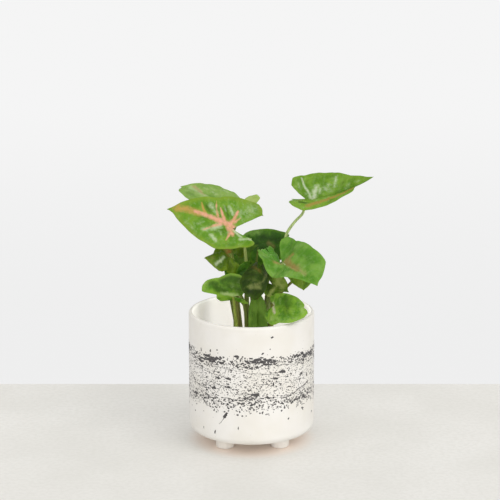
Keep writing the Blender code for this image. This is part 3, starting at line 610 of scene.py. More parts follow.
def marks_on(leaf):
    """The leaf's marks on its flat blade; a path starts where the camera sees it, and goes on nearby."""
    if leaf.name not in PHOTO_MARKS:
        return PLAIN_MARKS
    degrees, reach = np.meshgrid(np.linspace(-SEARCH_ANGLE, SEARCH_ANGLE, SEARCH_RAYS),
                                 np.linspace(0, SEARCH_REACH, SEARCH_RINGS), indexing="ij")
    x, y = reach * np.cos(np.radians(degrees)), reach * np.sin(np.radians(degrees))
    column, row, distance = seen_at(blade_surface(leaf, np.stack([x, y], axis=-1)))
    pixel = PIXEL_AT_AXIS / (math.dist(leaf.junction, leaf.tip) * MM)
    carried = []
    for kind, path, first, last, strength in PHOTO_MARKS[leaf.name]:
        places = []
        for at_column, at_row in path:
            off = np.hypot(column - at_column, row - at_row)
            order = distance
            if places and off.min() < OFF_BLADE:
                order = np.hypot(x - places[-1][0], y - places[-1][1])
            candidates = np.where(off < max(off.min() + SAME_PLACE, CLOSE_PIXEL), order, np.inf)
            found = np.unravel_index(np.argmin(candidates), off.shape)
            places.append((round(float(x[found]), 2), round(float(y[found]), 2)))
        carried.append((kind, places, max(LEAST_FIRST, round(first * pixel, 3)),
                        max(LEAST_LAST, round(last * pixel, 3)), strength))
    return carried


def painted(leaf, flat):
    """How strongly each kind of paint lies at each point; it is half as strong at a mark's edge."""
    layers = {kind: np.zeros(flat.shape[:-1]) for kind in PAINT_KINDS}
    for kind, path, first, last, strength in marks_on(leaf):
        count = len(path) - 1
        for index, (start, end) in enumerate(zip(path, path[1:])):
            away, t = away_from(flat[..., 0], flat[..., 1], start, end)
            half = first + (last - first) * (index + t) / count
            layers[kind] = np.maximum(layers[kind], strength * np.clip(1 - away / (2 * half), 0, 1))
    return [layers[kind] for kind in PAINT_KINDS]


def side_bands(flat):
    """Bands that follow the side veins, 0 on a vein and 1 between two."""
    x, y = flat[..., 0], np.abs(flat[..., 1])
    return 0.5 - 0.5 * np.cos(2 * math.pi * VEINS * (x - VEIN_SLANT * y + VEIN_CURVE * y * y))


def relief(leaf, flat, ray, ring, length):
    """The small ups and downs of a blade: swelling between veins, a groove, a waved margin."""
    x, y = flat[..., 0], np.abs(flat[..., 1])
    swell = leaf.quilt * side_bands(flat) * ramp(y, 0.02, 0.16) * (1 - ramp(ring, 0.75, 1.0))
    groove = -GROOVE_DEPTH * np.exp(-(y / GROOVE_WIDTH) ** 2) * ramp(x, -0.05, 0.06)
    shift = sum(ord(letter) for letter in leaf.name) % 17  # so that no two margins wave alike
    side = np.where(ray > 0, 0.0, 1.7)
    turn = 2 * math.pi * MARGIN_WAVES * np.abs(ray) + side + shift
    wave = leaf.wave * ring ** 3 * (np.sin(turn) + 0.45 * np.sin(2.3 * turn + 1.1))
    wave = wave * ramp(np.abs(ray), 0.02, 0.3) * (1 - ramp(np.abs(ray), 0.85, 1.0))
    return (swell + groove) * MM * min(1.0, length / FULL_RELIEF_LENGTH) + wave * MM


def grid_normals(points):
    """Unit normals of a grid of points."""
    across = np.gradient(points, axis=0)
    outward = np.gradient(points, axis=1)
    normal = np.cross(outward, across)
    size = np.linalg.norm(normal, axis=-1, keepdims=True)
    return normal / np.maximum(size, 1e-12)


@dataclass
class Mesh:
    """A mesh being gathered: places, faces, the material of each face, eight marks of each place."""

    places: list
    faces: list
    slots: list
    marks: list

    def add(self, places, faces, slot, marks=None):
        """Adds a body; marks are eight numbers for each place, or none."""
        marks = np.zeros((len(places), 8)) if marks is None else marks
        first = sum(len(block) for block in self.places)
        self.places.append(np.asarray(places, float))
        self.marks.append(np.asarray(marks, float))
        self.faces += [tuple(first + corner for corner in face) for face in faces]
        self.slots += list(slot) if isinstance(slot, (list, np.ndarray)) else [slot] * len(faces)


def new_mesh():
    """An empty mesh to gather into."""
    return Mesh([], [], [], [])


def make_object(name, gathered, materials):
    """Makes the gathered mesh an object with smooth faces and its marks as a colour attribute."""
    mesh = bpy.data.meshes.new(name)
    mesh.from_pydata(np.concatenate(gathered.places).tolist(), [], gathered.faces)
    mesh.polygons.foreach_set("material_index", np.array(gathered.slots, dtype=np.int32))
    mesh.polygons.foreach_set("use_smooth", np.ones(len(gathered.faces), dtype=bool))
    marks = np.concatenate(gathered.marks)
    for index, label in enumerate(("paint", "place")):
        if marks.any():
            attribute = mesh.color_attributes.new(label, "FLOAT_COLOR", "POINT")
            attribute.data.foreach_set("color", marks[:, index * 4:index * 4 + 4].ravel())
    for material in materials:
        mesh.materials.append(material)
    mesh.update()
    thing = bpy.data.objects.new(name, mesh)
    bpy.context.scene.collection.objects.link(thing)
    return thing


def add_blade(gathered, leaf):
    """A blade with its two faces and its rim."""
    length = midrib_of(leaf).length
    rings = max(LEAST_RINGS, round(length / GRID_PITCH))
    rays = max(LEAST_RAYS, round(length * RAYS_FOR_RING / GRID_PITCH))
    flat, ray, ring = flat_blade(leaf, rays, rings)
    points = blade_surface(leaf, flat, relief(leaf, flat, ray, ring, length))
    normals = grid_normals(points)
    middle = points[rays // 2, 0]
    centre_normal = unit(normals[:, 1].mean(axis=0))
    normals[:, 0] = centre_normal
    half = BLADE_THICKNESS / 2 * (1 - RIM_THINNING * ring[..., None] ** 4)
    nothing = np.zeros_like(ring)
    marks = np.stack(painted(leaf, flat) + [ring, side_bands(flat), nothing, nothing], axis=-1)

    count = (rays + 1) * rings
    places, face_marks = [], []
    for side in (1, -1):
        sheet = points + normals * half * side
        places += [sheet[:, 1:].reshape(-1, 3), (middle + centre_normal * half[0, 0] * side)[None]]
        face_marks += [marks[:, 1:].reshape(-1, 8), marks[rays // 2, 0][None]]
    block = count + 1

    def at(i, j, side):
        """The index of a grid place on the upper or lower face."""
        return side * block + (count if j == 0 else i * rings + j - 1)

    faces, slots = [], []
    for i in range(rays):
        for side in (0, 1):
            fan = (at(i, 0, side), at(i + 1, 1, side), at(i, 1, side))
            faces.append(fan if side else fan[::-1])
            slots.append(side)
            for j in range(1, rings):
                quad = (at(i, j, side), at(i + 1, j, side), at(i + 1, j + 1, side), at(i, j + 1, side))
                faces.append(quad if side else quad[::-1])
                slots.append(side)
        faces.append((at(i, rings, 0), at(i, rings, 1), at(i + 1, rings, 1), at(i + 1, rings, 0)))
        slots.append(0)
    for i, order in ((0, 1), (rays, -1)):
        for j in range(rings):
            quad = (at(i, j, 0), at(i, j, 1), at(i, j + 1, 1), at(i, j + 1, 0))
            faces.append(quad[::order])
            slots.append(0)
    gathered.add(np.concatenate(places), faces, slots, np.concatenate(face_marks))


def tube(points, radii, sides):
    """Places and faces of a closed tube along points."""
    points = np.asarray(points, float)
    tangents = np.gradient(points, axis=0)
    tangents /= np.linalg.norm(tangents, axis=1)[:, None]
    side = unit(np.cross(tangents[0], [0.0, 1.0, 0.1]))
    rings = []
    for point, tangent, radius in zip(points, tangents, radii):
        side = unit(side - tangent * (tangent @ side))
        other = np.cross(tangent, side)
        turn = np.linspace(0, 2 * math.pi, sides, endpoint=False)[:, None]
        rings.append(point + radius * (np.cos(turn) * side + np.sin(turn) * other))
    faces = []
    for i in range(len(points) - 1):
        for k in range(sides):
            after = (k + 1) % sides
            faces.append((i * sides + k, i * sides + after, (i + 1) * sides + after, (i + 1) * sides + k))
    faces.append(tuple(range(sides))[::-1])
    faces.append(tuple(range((len(points) - 1) * sides, len(points) * sides)))
    return np.concatenate(rings), faces


def add_petiole(gathered, leaf):
    """A stalk from the soil to the blade, going on as the rib under it."""
    rib = midrib_of(leaf)
    bottom = SOIL_TOP - HOLE_DEPTH + CLEARANCE
    x, y = leaf.base[0] * MM, leaf.base[1] * MM
    knees = [(x, y, SOIL_TOP + SOIL_MOUND)]
    knees += [tuple(value * MM for value in guide) for guide in leaf.guides]
    top = PETIOLE_TOP_RADIUS * 0.8
    knees.append(tuple(rib.start - rib.normal * top))
    knees = np.array(knees) + AXIS
    steps = np.linalg.norm(np.diff(knees, axis=0), axis=1)
    knots = np.concatenate([[0.0], np.cumsum(steps)])
    at = np.linspace(0, knots[-1], max(RIB_STEPS, round(knots[-1] / PETIOLE_STEP)))
    if len(knees) == 2:
        path = knees[0] + (knees[1] - knees[0]) * (at / knots[-1])[:, None]
    else:
        path = np.stack([smooth_curve(knots, knees[:, axis], at) for axis in range(3)], axis=-1)
    share = at / knots[-1]
    radii = PETIOLE_BASE_RADIUS + (PETIOLE_TOP_RADIUS - PETIOLE_BASE_RADIUS) * share
    below = np.linspace(RIB_FIRST, RIB_LAST, RIB_STEPS)
    rib_radius = top * (1 - below) ** 0.8 + RIB_END_RADIUS
    flat = np.stack([below, np.zeros_like(below)], axis=-1)
    under = blade_surface(leaf, flat, -rib_radius * 0.75 - BLADE_THICKNESS / 2 - RIB_DEPTH)
    joint = path[-1:] * 0.5 + under[:1] * 0.5
    points = np.concatenate([[[x + AXIS_X, y, bottom]], path[:-1], joint, under])
    sizes = np.concatenate([[PETIOLE_BASE_RADIUS], radii[:-1], [top], rib_radius])
    places, faces = tube(points, sizes, PETIOLE_SIDES)
    shares = np.concatenate([[0.0], share, np.ones(len(under))])
    marks = np.zeros((len(places), 8))
    marks[:, 7] = np.repeat(shares, PETIOLE_SIDES)
    gathered.add(places, faces, 2, marks)


class Nodes:
    """Short ways to wire a material."""

    def __init__(self, name):
        self.material = bpy.data.materials.new(name)
        self.material.use_nodes = True
        self.tree = self.material.node_tree
        self.shader = self.tree.nodes["Principled BSDF"]
        self.place = self.add("ShaderNodeTexCoord").outputs["Object"]

    def add(self, kind, inputs=None, **settings):
        """A node with its settings and its inputs."""
        node = self.tree.nodes.new(kind)
        for key, value in settings.items():
            setattr(node, key, value)
        self.fill(node, inputs or {})
        return node

    def fill(self, node, inputs):
        """Links or sets the inputs of a node, given by name or by number."""
        for key, value in inputs.items():
            self.put(node.inputs[key], value)

    def put(self, socket, value):
        """Links a socket to a value, or sets it."""
        if isinstance(value, bpy.types.NodeSocket):
            self.tree.links.new(value, socket)
        elif isinstance(value, (tuple, list)):
            socket.default_value = (*value, 1.0)[:4] if len(socket.default_value) == 4 else value
        else:
            socket.default_value = value

    def math(self, operation, a, b=0.5, clamp=False):
        """One sum."""
        node = self.add("ShaderNodeMath", {0: a, 1: b}, operation=operation, use_clamp=clamp)
        return node.outputs[0]

    def product(self, *factors):
        """The factors multiplied."""
        total = factors[0]
        for factor in factors[1:]:
            total = self.math("MULTIPLY", total, factor)
        return total

    def mix(self, factor, a, b):
        """A mix of two colours."""
        return self.add("ShaderNodeMix", {"Factor": factor, 6: a, 7: b}, data_type="RGBA").outputs[2]

    def stretch(self, scale):
        """The object's own coordinates, scaled differently along each axis."""
        return self.add("ShaderNodeMapping", {"Vector": self.place, "Scale": scale}).outputs[0]

    def noise(self, scale, detail=2.0, vector=None, rough=0.5):
        """Noise from 0 to 1."""
        inputs = {"Vector": vector or self.place, "Scale": scale, "Detail": detail, "Roughness": rough}
        return self.add("ShaderNodeTexNoise", inputs).outputs["Fac"]

    def cells(self, scale, feature="F1"):
        """Distance within Voronoi cells."""
        inputs = {"Vector": self.place, "Scale": scale}
        return self.add("ShaderNodeTexVoronoi", inputs, feature=feature).outputs["Distance"]

    def range(self, value, low, high, to_low=0.0, to_high=1.0):
        """Maps a value smoothly from one range to another."""
        inputs = {"Value": value, "From Min": low, "From Max": high, "To Min": to_low, "To Max": to_high}
        return self.add("ShaderNodeMapRange", inputs, interpolation_type="SMOOTHSTEP").outputs["Result"]

    def beside_axis(self):
        """The place measured from the pot's axis: x, y and height."""
        inputs = {0: self.place, 1: (AXIS_X, 0.0, 0.0)}
        offset = self.add("ShaderNodeVectorMath", inputs, operation="SUBTRACT")
        return self.add("ShaderNodeSeparateXYZ", {0: offset.outputs[0]}).outputs

    def from_axis(self):
        """The distance from the pot's axis."""
        x, y, _ = self.beside_axis()
        return self.math("SQRT", self.math("ADD", self.product(x, x), self.product(y, y)))

    def marks(self, label):
        """Four marks of the mesh."""
        attribute = self.add("ShaderNodeAttribute", attribute_name=label)
        split = self.add("ShaderNodeSeparateColor", {0: attribute.outputs["Color"]})
        return (*split.outputs[:3], attribute.outputs["Alpha"])

    def bump(self, height, strength, distance):
        """Relief on the shader's normal."""
        node = self.add("ShaderNodeBump", {"Height": height, "Strength": strength, "Distance": distance})
        self.put(self.shader.inputs["Normal"], node.outputs[0])

    def feathered(self, value, shift, amount):
        """A painted mark with an uneven edge; nothing where there is no paint."""
        reach = self.product(self.range(value, 0.0, 0.3), amount)
        return self.math("ADD", value, self.product(shift, reach), clamp=True)

    def living(self):
        """The soft depth and the low sheen of live tissue."""
        self.fill(self.shader, {"Subsurface Weight": 0.1, "Subsurface Radius": (0.4, 1.0, 0.1),
                                "Subsurface Scale": 0.0012, "Specular IOR Level": 0.12})

    def finish(self, colour, roughness):
        """Sets the colour and the roughness."""
        self.fill(self.shader, {"Base Color": colour, "Roughness": roughness})
        return self.material


def blade_material(name, look):
    """A waxy leaf: mottled greens, a paler margin, and its painted veins and patches, among them painted
    highlights and painted shade.
    """
    nodes = Nodes(name)
    rib, far, pale, dark = nodes.marks("paint")
    ring, bands, _, _ = nodes.marks("place")
    broad = nodes.noise(110, 3)
    fine = nodes.noise(520, 4, rough=0.6)
    shift = nodes.math("SUBTRACT", nodes.noise(280, 5, rough=0.7), 0.5)
    colour = nodes.mix(nodes.range(broad, 0.38, 0.62), look.dark, look.light)
    veined = nodes.range(bands, 0.0, 0.35, 1.0, 0.0)
    colour = nodes.mix(nodes.product(veined, look.stripes, nodes.range(fine, 0.3, 0.7)), colour, look.pale)
    frosted = nodes.range(nodes.noise(210, 5, rough=0.75), 0.52, 0.70)
    colour = nodes.mix(nodes.product(frosted, 0.28), colour, look.pale)
    # Dark marks: painted shade in folds, hollows and under other leaves, with some real darker green
    # between the veins
    deeper = tuple(value * 0.38 for value in look.dark)
    colour = nodes.mix(nodes.range(nodes.feathered(dark, shift, 1.0), 0.05, 0.9), colour, deeper)
    colour = nodes.mix(nodes.product(nodes.range(ring, 0.80, 1.0), 0.65), colour, look.margin)
    # Pale marks: real frosting, and painted highlights and sheen
    frost_and_painted_highlights = nodes.range(nodes.feathered(pale, shift, 1.6), 0.05, 1.0)
    colour = nodes.mix(frost_and_painted_highlights, colour, look.pale)
    colour = nodes.mix(nodes.range(nodes.feathered(far, shift, 1.2), 0.05, 0.9), colour, look.far)
    ribbed = nodes.mix(nodes.range(nodes.noise(350, 3), 0.42, 0.68, 0.0, 0.55), look.rib, look.far)
    colour = nodes.mix(nodes.range(nodes.feathered(rib, shift, 1.1), 0.12, 0.85), colour, ribbed)
    colour = nodes.mix(nodes.product(fine, 0.25), colour, look.light)
    net = nodes.range(nodes.cells(900, "DISTANCE_TO_EDGE"), 0.0, 0.12)
    nodes.bump(nodes.math("ADD", nodes.product(net, 0.5), fine), 0.3, 0.0002)
    nodes.living()
    return nodes.finish(colour, nodes.range(fine, 0.3, 0.7, 0.34, 0.46))


def under_material(name, look):
    """The duller, paler underside of a leaf."""
    nodes = Nodes(name)
    fine = nodes.noise(380, 3)
    veined = nodes.range(nodes.marks("place")[1], 0.0, 0.3, 0.5, 0.0)
    colour = nodes.mix(nodes.product(fine, 0.5), look.under, look.light)
    colour = nodes.mix(veined, colour, look.petiole)
    net = nodes.range(nodes.cells(850, "DISTANCE_TO_EDGE"), 0.0, 0.12)
    nodes.bump(net, 0.3, 0.0002)
    nodes.living()
    return nodes.finish(colour, nodes.range(fine, 0.3, 0.7, 0.5, 0.6))


def petiole_material(name, look):
    """A juicy stalk with faint lengthwise streaks, browner near the soil."""
    nodes = Nodes(name)
    share = nodes.marks("place")[3]
    streaks = nodes.noise(1.0, 3, nodes.stretch((1500, 1500, 60)))
    deeper = tuple(value * 0.6 for value in look.petiole)
    colour = nodes.mix(nodes.range(streaks, 0.35, 0.65), look.petiole, deeper)
    low = nodes.product(nodes.range(share, 0.0, 0.35, 1.0, 0.0), 0.45)
    colour = nodes.mix(low, colour, (0.17, 0.11, 0.02))
    nodes.bump(streaks, 0.25, 0.0002)
    nodes.living()
    return nodes.finish(colour, 0.4)


def make_leaf(leaf):
    """A leaf in place of its CAD solid."""
    look = LOOKS[leaf.look]
    gathered = new_mesh()
    add_blade(gathered, leaf)
    add_petiole(gathered, leaf)
    if leaf.look not in made_looks:
        made_looks[leaf.look] = (blade_material(leaf.look + "_leaf", look),
                                 under_material(leaf.look + "_leaf_under", look),
                                 petiole_material(leaf.look + "_petiole", look))
    thing = make_object(leaf.name + "_grown", gathered, made_looks[leaf.look])
    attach(thing, "root")
    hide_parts(leaf.name)


def arc(centre_x, centre_z, radius, start, end, steps):
    """Points of an arc in the profile's plane, angles in degrees."""
    angles = [math.radians(start + (end - start) * i / steps) for i in range(steps + 1)]
    return [(centre_x + radius * math.cos(a), centre_z + radius * math.sin(a)) for a in angles]


def turned_body(profile, steps, centre=(0.0, 0.0)):
    """Places and faces of a body turned from (radius, height) points that start and end on the axis."""
    inner = profile[1:-1]
    turn = np.linspace(0, 2 * math.pi, steps, endpoint=False)
    radius = np.array([point[0] for point in inner])[:, None]
    height = np.array([point[1] for point in inner])[:, None]
    x = centre[0] + radius * np.cos(turn)[None]
    y = centre[1] + radius * np.sin(turn)[None]
    z = np.broadcast_to(height, x.shape)
    places = np.stack([x, y, z], axis=-1).reshape(-1, 3)
    ends = [[centre[0], centre[1], profile[0][1]], [centre[0], centre[1], profile[-1][1]]]
    places = np.concatenate([places, ends])
    faces = []
    rows = len(inner)
    for i in range(rows - 1):
        for k in range(steps):
            after = (k + 1) % steps
            faces.append((i * steps + k, (i + 1) * steps + k, (i + 1) * steps + after, i * steps + after))
    first, last = rows * steps, rows * steps + 1
    for k in range(steps):
        after = (k + 1) % steps
        faces.append((first, k, after))
        faces.append((last, (rows - 1) * steps + after, (rows - 1) * steps + k))
    return places, faces


def spaced(start, end, steps):
    """Points between two profile points, without the ends."""
    return [(start[0] + (end[0] - start[0]) * i / steps, start[1] + (end[1] - start[1]) * i / steps)
            for i in range(1, steps)]


def pot_profile():
    """The pot's section: floor, inner wall, rounded lip, outer wall and base."""
    inner = POT_RADIUS - POT_WALL
    floor = FOOT_HEIGHT + POT_FLOOR
    lip = POT_WALL / 2
    profile = [(0.0, floor), (inner * 0.5, floor)]
    profile += arc(inner - POT_INNER_CORNER, floor + POT_INNER_CORNER, POT_INNER_CORNER, -90, 0, 6)
    profile += spaced(profile[-1], (inner, POT_HEIGHT - lip), 12)
    profile += arc(POT_RADIUS - lip, POT_HEIGHT - lip, lip, 180, 0, 14)
    profile += spaced(profile[-1], (POT_RADIUS, FOOT_HEIGHT + POT_CORNER), 18)
    profile += arc(POT_RADIUS - POT_CORNER, FOOT_HEIGHT + POT_CORNER, POT_CORNER, 0, -90, 10)
    profile += [(0.03, FOOT_HEIGHT), (0.0, FOOT_HEIGHT)]
    return profile


def foot_profile():
    """The section of a foot: a flared root at the pot's base, a round edge at the ground."""
    top = FOOT_HEIGHT + FOOT_SINK
    profile = [(0.0, top), (FOOT_TOP_RADIUS, top)]
    flare = arc(FOOT_TOP_RADIUS + FOOT_FLARE, FOOT_HEIGHT - FOOT_FLARE, FOOT_FLARE, 90, 180, 6)
    profile += [(FOOT_TOP_RADIUS + FOOT_FLARE, FOOT_HEIGHT + 0.0005)] + flare
    profile += spaced(profile[-1], (FOOT_RADIUS, FOOT_EDGE), 4)
    profile += arc(FOOT_RADIUS - FOOT_EDGE, FOOT_EDGE, FOOT_EDGE, 0, -90, 7)
    profile.append((0.0, 0.0))
    return profile


def pot_material():
    """Cream glaze, satin, a little uneven, with fine pits and specks, and painted light on its inside
    above the soil.
    """
    nodes = Nodes("cream_glaze")
    broad = nodes.noise(35, 2)
    fine = nodes.noise(700, 3)
    colour = nodes.mix(nodes.range(broad, 0.3, 0.7), (0.78, 0.753, 0.70), (0.82, 0.80, 0.77))
    speck = nodes.range(nodes.cells(260), 0.05, 0.085, 1.0, 0.0)
    rare = nodes.range(nodes.noise(75, 0), 0.60, 0.66)
    colour = nodes.mix(nodes.product(speck, rare, 0.45), colour, (0.25, 0.22, 0.19))
    nodes.bump(nodes.math("ADD", nodes.product(fine, 0.4), nodes.noise(120, 2)), 0.12, 0.0006)

    # Painted light: the inside of the wall above the soil glows in the glaze's colour, and glows half as
    # much where it turns sideways, a painted shade there
    x, _, z = nodes.beside_axis()
    away = nodes.from_axis()
    inside = nodes.range(away, POT_RADIUS - 0.8 * POT_WALL, POT_RADIUS - 0.5 * POT_WALL, 1.0, 0.0)
    sideways = nodes.math("ABSOLUTE", x)
    painted_side_shade = nodes.product(nodes.range(sideways, 0.030, 0.045),
                           nodes.range(sideways, 0.043, 0.052, 1.0, 0.0))
    painted_inner_light = nodes.product(inside, nodes.range(z, SOIL_TOP - 0.004, SOIL_TOP),
                         nodes.range(painted_side_shade, 0.0, 1.0, 1.0, 0.5), INNER_WALL_PAINTED_LIGHT)
    nodes.fill(nodes.shader, {"Specular IOR Level": 0.4, "Emission Color": colour,
                              "Emission Strength": painted_inner_light})
    return nodes.finish(colour, nodes.range(fine, 0.3, 0.7, 0.42, 0.56))


def make_pot(material):
    """The pot with its feet, finer than its CAD solid."""
    gathered = new_mesh()
    places, faces = turned_body(pot_profile(), POT_STEPS)
    gathered.add(places + AXIS, faces, 0)
    for index in range(FOOT_COUNT):
        angle = math.radians(FOOT_TURN + 360 * index / FOOT_COUNT)
        centre = (FOOT_CIRCLE * math.cos(angle), FOOT_CIRCLE * math.sin(angle))
        places, faces = turned_body(foot_profile(), FOOT_STEPS, centre)
        gathered.add(places + AXIS, faces, 0)
    pot = make_object("pot_body", gathered, [material])
    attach(pot, "root")
    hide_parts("pot")


# Splatter, in millimetres round the pot's wall from the middle of its front, and in height
BAND_TOP = 87.0
BAND_BOTTOM = 50.0
SPLATTER_LIFT = 0.00006
SPRAY_FLECKS = 6200
STRAY_FLECKS = 1500
FLUNG_LINES = 70
SPRAY_CORNERS = 6
STROKES = (
    # start round, start height, end round, end height, half breadth, size of the drop at its end
    (-47, 75, -20, 71.5, 0.20, 1.5),
    (-34, 71.6, -30, 70.8, 0.35, 1.2),
    (-45, 66.5, -20, 63.8, 0.20, 1.4),
    (-44, 62.5, -34, 60.8, 0.30, 1.6),
    (-40, 81, -18, 79.5, 0.22, 0.8),
    (-16, 79.5, 24, 74, 0.20, 0.7),
    (-14, 58.5, 4, 58.2, 0.22, 1.9),
    (-12, 53.5, 2, 57.5, 0.30, 1.2),
    (-9, 83, 0, 81.5, 0.40, 0.9),
    (4, 75, 28, 77, 0.22, 1.9),
    (10, 71, 22, 71.6, 0.20, 1.4),
    (26, 52.5, 36, 53.5, 0.45, 0.9),
    (36, 54.5, 60, 61, 0.45, 0.8),
    (40, 82.5, 56, 85.5, 0.25, 0.7),
    (44, 67, 50, 70, 0.35, 0.8),
    (-70, 84, -52, 83, 0.45, 1.3),
    (-70, 66, -60, 62, 0.30, 0.9),
)
DROPS = (
    # round, height, half length, half height, turn
    (18, 108.5, 1.5, 0.9, 20), (-38.5, 93.5, 0.9, 1.5, -20), (9.5, 94.5, 1.2, 0.7, 30),
    (-50, 92, 0.6, 2.0, 8),
    (-33.5, 21, 0.8, 1.8, -12), (34, 33, 1.1, 0.7, 40), (-11.5, 27, 0.5, 1.4, 0), (14, 40, 1.6, 0.4, 0),
    (-24, 41, 1.0, 0.8, 0), (-8, 38.5, 0.9, 0.6, 20), (-47, 22, 0.4, 1.3, 0), (27, 41.5, 0.9, 0.7, 0),
    (16, 98, 0.5, 0.6, 0), (-34.5, 40.5, 0.9, 0.9, 0), (-17.5, 46, 1.0, 0.7, 0), (2, 44, 0.8, 0.8, 0),
    (-43, 57.5, 1.2, 1.0, 0), (-46.5, 60.5, 0.9, 1.2, 0), (5, 57.5, 1.9, 1.3, 0),
    (-5.5, 54.3, 1.6, 1.2, 0),
    (-8, 49.5, 1.8, 1.0, 0), (19, 66.5, 0.7, 1.7, -15), (26, 65, 0.5, 1.5, 15), (-62, 79, 0.6, 0.9, 0),
    (70, 30, 1.2, 0.8, 30), (-80, 35, 0.9, 1.2, 0), (110, 100, 1.0, 0.7, 15), (150, 28, 0.8, 1.3, 0),
    (-120, 98, 1.1, 0.8, 40), (95, 104, 0.8, 0.9, 0), (-140, 34, 1.0, 0.8, 0),
)


def on_wall(around, height, lift):
    """A place on the pot's outer wall; around and height in millimetres."""
    radius = POT_RADIUS + lift
    turn = around * MM / POT_RADIUS - math.pi / 2
    return np.stack([AXIS_X + radius * np.cos(turn), radius * np.sin(turn),
                     np.broadcast_to(height * MM, np.shape(turn))], axis=-1)


def add_fleck(gathered, rng, around, height, half_long, half_high, tilt, corners):
    """A small raised spot of paint with an uneven edge."""
    turn = np.linspace(0, 2 * math.pi, corners, endpoint=False)
    uneven = 1 + 0.2 * rng.standard_normal(corners) if corners > SPRAY_CORNERS else np.ones(corners)
    along, up = half_long * uneven * np.cos(turn), half_high * uneven * np.sin(turn)
    tilt = math.radians(tilt)
    s = around + along * math.cos(tilt) - up * math.sin(tilt)
    z = height + along * math.sin(tilt) + up * math.cos(tilt)
    rim = on_wall(s, z, SPLATTER_LIFT)
    centre = on_wall(np.array([around]), np.array([height]), SPLATTER_LIFT * 1.8)
    faces = [(k, (k + 1) % corners, corners) for k in range(corners)]
    gathered.add(np.concatenate([rim, centre]), faces, 0)


def add_stroke(gathered, rng, start, end, half, blob):
    """A thin flung line of paint that ends in a drop."""
    steps = max(8, round(abs(end[0] - start[0]) / 1.2))
    t = np.linspace(0, 1, steps)
    s = start[0] + (end[0] - start[0]) * t
    z = start[1] + (end[1] - start[1]) * t + 0.3 * np.sin(t * 7 + start[0])
    width = half * (0.4 + 0.6 * t) * np.clip(1 + 0.35 * rng.standard_normal(steps), 0.2, 2)
    upper = on_wall(s, z + width, SPLATTER_LIFT * 1.3)
    lower = on_wall(s, z - width, SPLATTER_LIFT * 1.3)
    faces = [(steps + k, steps + k + 1, k + 1, k) for k in range(steps - 1)]
    gathered.add(np.concatenate([upper, lower]), faces, 0)
    add_fleck(gathered, rng, end[0], z[-1], blob * 1.3, blob * 0.85, rng.uniform(-8, 8), 16)
    add_fleck(gathered, rng, end[0] - blob * 1.2, z[-1] - 0.1, blob * 1.1, blob * 0.45,
              rng.uniform(-8, 8), 12)


def edge_height(around, level, seed):
    """The height of an uneven edge of the band."""
    return (level + 0.9 * np.sin(around / 17 + seed) + 0.6 * np.sin(around / 6.1 + 2 * seed)
            + 0.4 * np.sin(around / 2.3 + 3 * seed))


def add_run(gathered, rng, level, seed, sizes, scatter, step):
    """One of the band's dense edges: blobs that merge in runs."""
    around = -math.pi * POT_RADIUS / MM
    while around < math.pi * POT_RADIUS / MM:
        strong = 0.62 + 0.38 * math.sin(around / 7.5 + seed) + rng.uniform(-0.3, 0.3)
        if strong > 0.3:
            size = rng.uniform(*sizes) * (0.55 + 0.55 * strong)
            add_fleck(gathered, rng, around, edge_height(around, level, seed) + rng.normal(0, scatter),
                      size * rng.uniform(1.0, 1.7), size * rng.uniform(0.6, 0.9),
                      rng.uniform(-18, 18), 12)
        around += rng.uniform(0.4, 1.6) * step


def make_splatter(material):
    """The band of charcoal splatter: two dense edges, a fine spray, flung lines and a few drops."""
    rng = np.random.default_rng(5)
    gathered = new_mesh()
    half_round = math.pi * POT_RADIUS / MM
    for _ in range(SPRAY_FLECKS):
        around = rng.uniform(-half_round, half_round)
        top = edge_height(around, BAND_TOP, 0.4)
        bottom = edge_height(around, BAND_BOTTOM, 2.1)
        height = bottom + (top - bottom) * rng.random()
        size = 0.19 + 0.20 * rng.random() ** 2
        if rng.random() < 0.18:
            size += 0.32 * rng.random()
        add_fleck(gathered, rng, around, height, size * rng.uniform(1.0, 2.0), size,
                  rng.uniform(-25, 25), SPRAY_CORNERS)
    for _ in range(STRAY_FLECKS):
        around = rng.uniform(-half_round, half_round)
        spread = abs(rng.standard_normal())
        height = BAND_BOTTOM - 5.0 * spread if rng.random() < 0.75 else BAND_TOP + 2.5 * spread
        size = 0.24 + 0.55 * rng.random() ** 2
        add_fleck(gathered, rng, around, height, size * rng.uniform(1.0, 1.5), size,
                  rng.uniform(0, 180), 8)

    add_run(gathered, rng, BAND_TOP + 0.4, 0.4, (0.45, 1.5), 1.3, 0.95)
    add_run(gathered, rng, BAND_TOP - 2.0, 0.4, (0.35, 1.3), 1.6, 1.1)
    add_run(gathered, rng, BAND_TOP - 4.6, 1.7, (0.4, 0.8), 0.9, 1.6)
    add_run(gathered, rng, BAND_BOTTOM + 0.2, 2.1, (0.3, 1.0), 1.2, 1.2)
    add_run(gathered, rng, BAND_BOTTOM + 3.5, 0.9, (0.4, 0.9), 1.2, 1.6)
    for _ in range(FLUNG_LINES):
        around = rng.uniform(-half_round, half_round)
        height = rng.uniform(BAND_BOTTOM, BAND_TOP - 3)
        length = rng.uniform(3, 15)
        add_stroke(gathered, rng, (around - length, height + rng.uniform(-1.5, 1.5)), (around, height),
                   rng.uniform(0.12, 0.3), rng.uniform(0.35, 0.9))
    for s0, z0, s1, z1, half, blob in STROKES:
        add_stroke(gathered, rng, (s0, z0), (s1, z1), half, blob)
    for around, height, long, high, tilt in DROPS:
        add_fleck(gathered, rng, around, height, long, high, tilt, 12)

    # A teardrop low on the left, with its tail, and a dab hanging from the upper edge
    add_stroke(gathered, rng, (-29.5, 28.5), (-23.5, 36.0), 0.5, 0.9)
    add_fleck(gathered, rng, -23.3, 37.2, 1.5, 2.4, -35, 14)
    add_fleck(gathered, rng, -22.2, 39.6, 1.0, 1.3, -20, 12)
    add_stroke(gathered, rng, (15.5, 79), (14.5, 84.5), 0.8, 1.2)
    add_stroke(gathered, rng, (-13.5, 86), (-12.5, 92), 1.0, 1.4)
    thing = make_object("splatter", gathered, [material])
    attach(thing, "root")


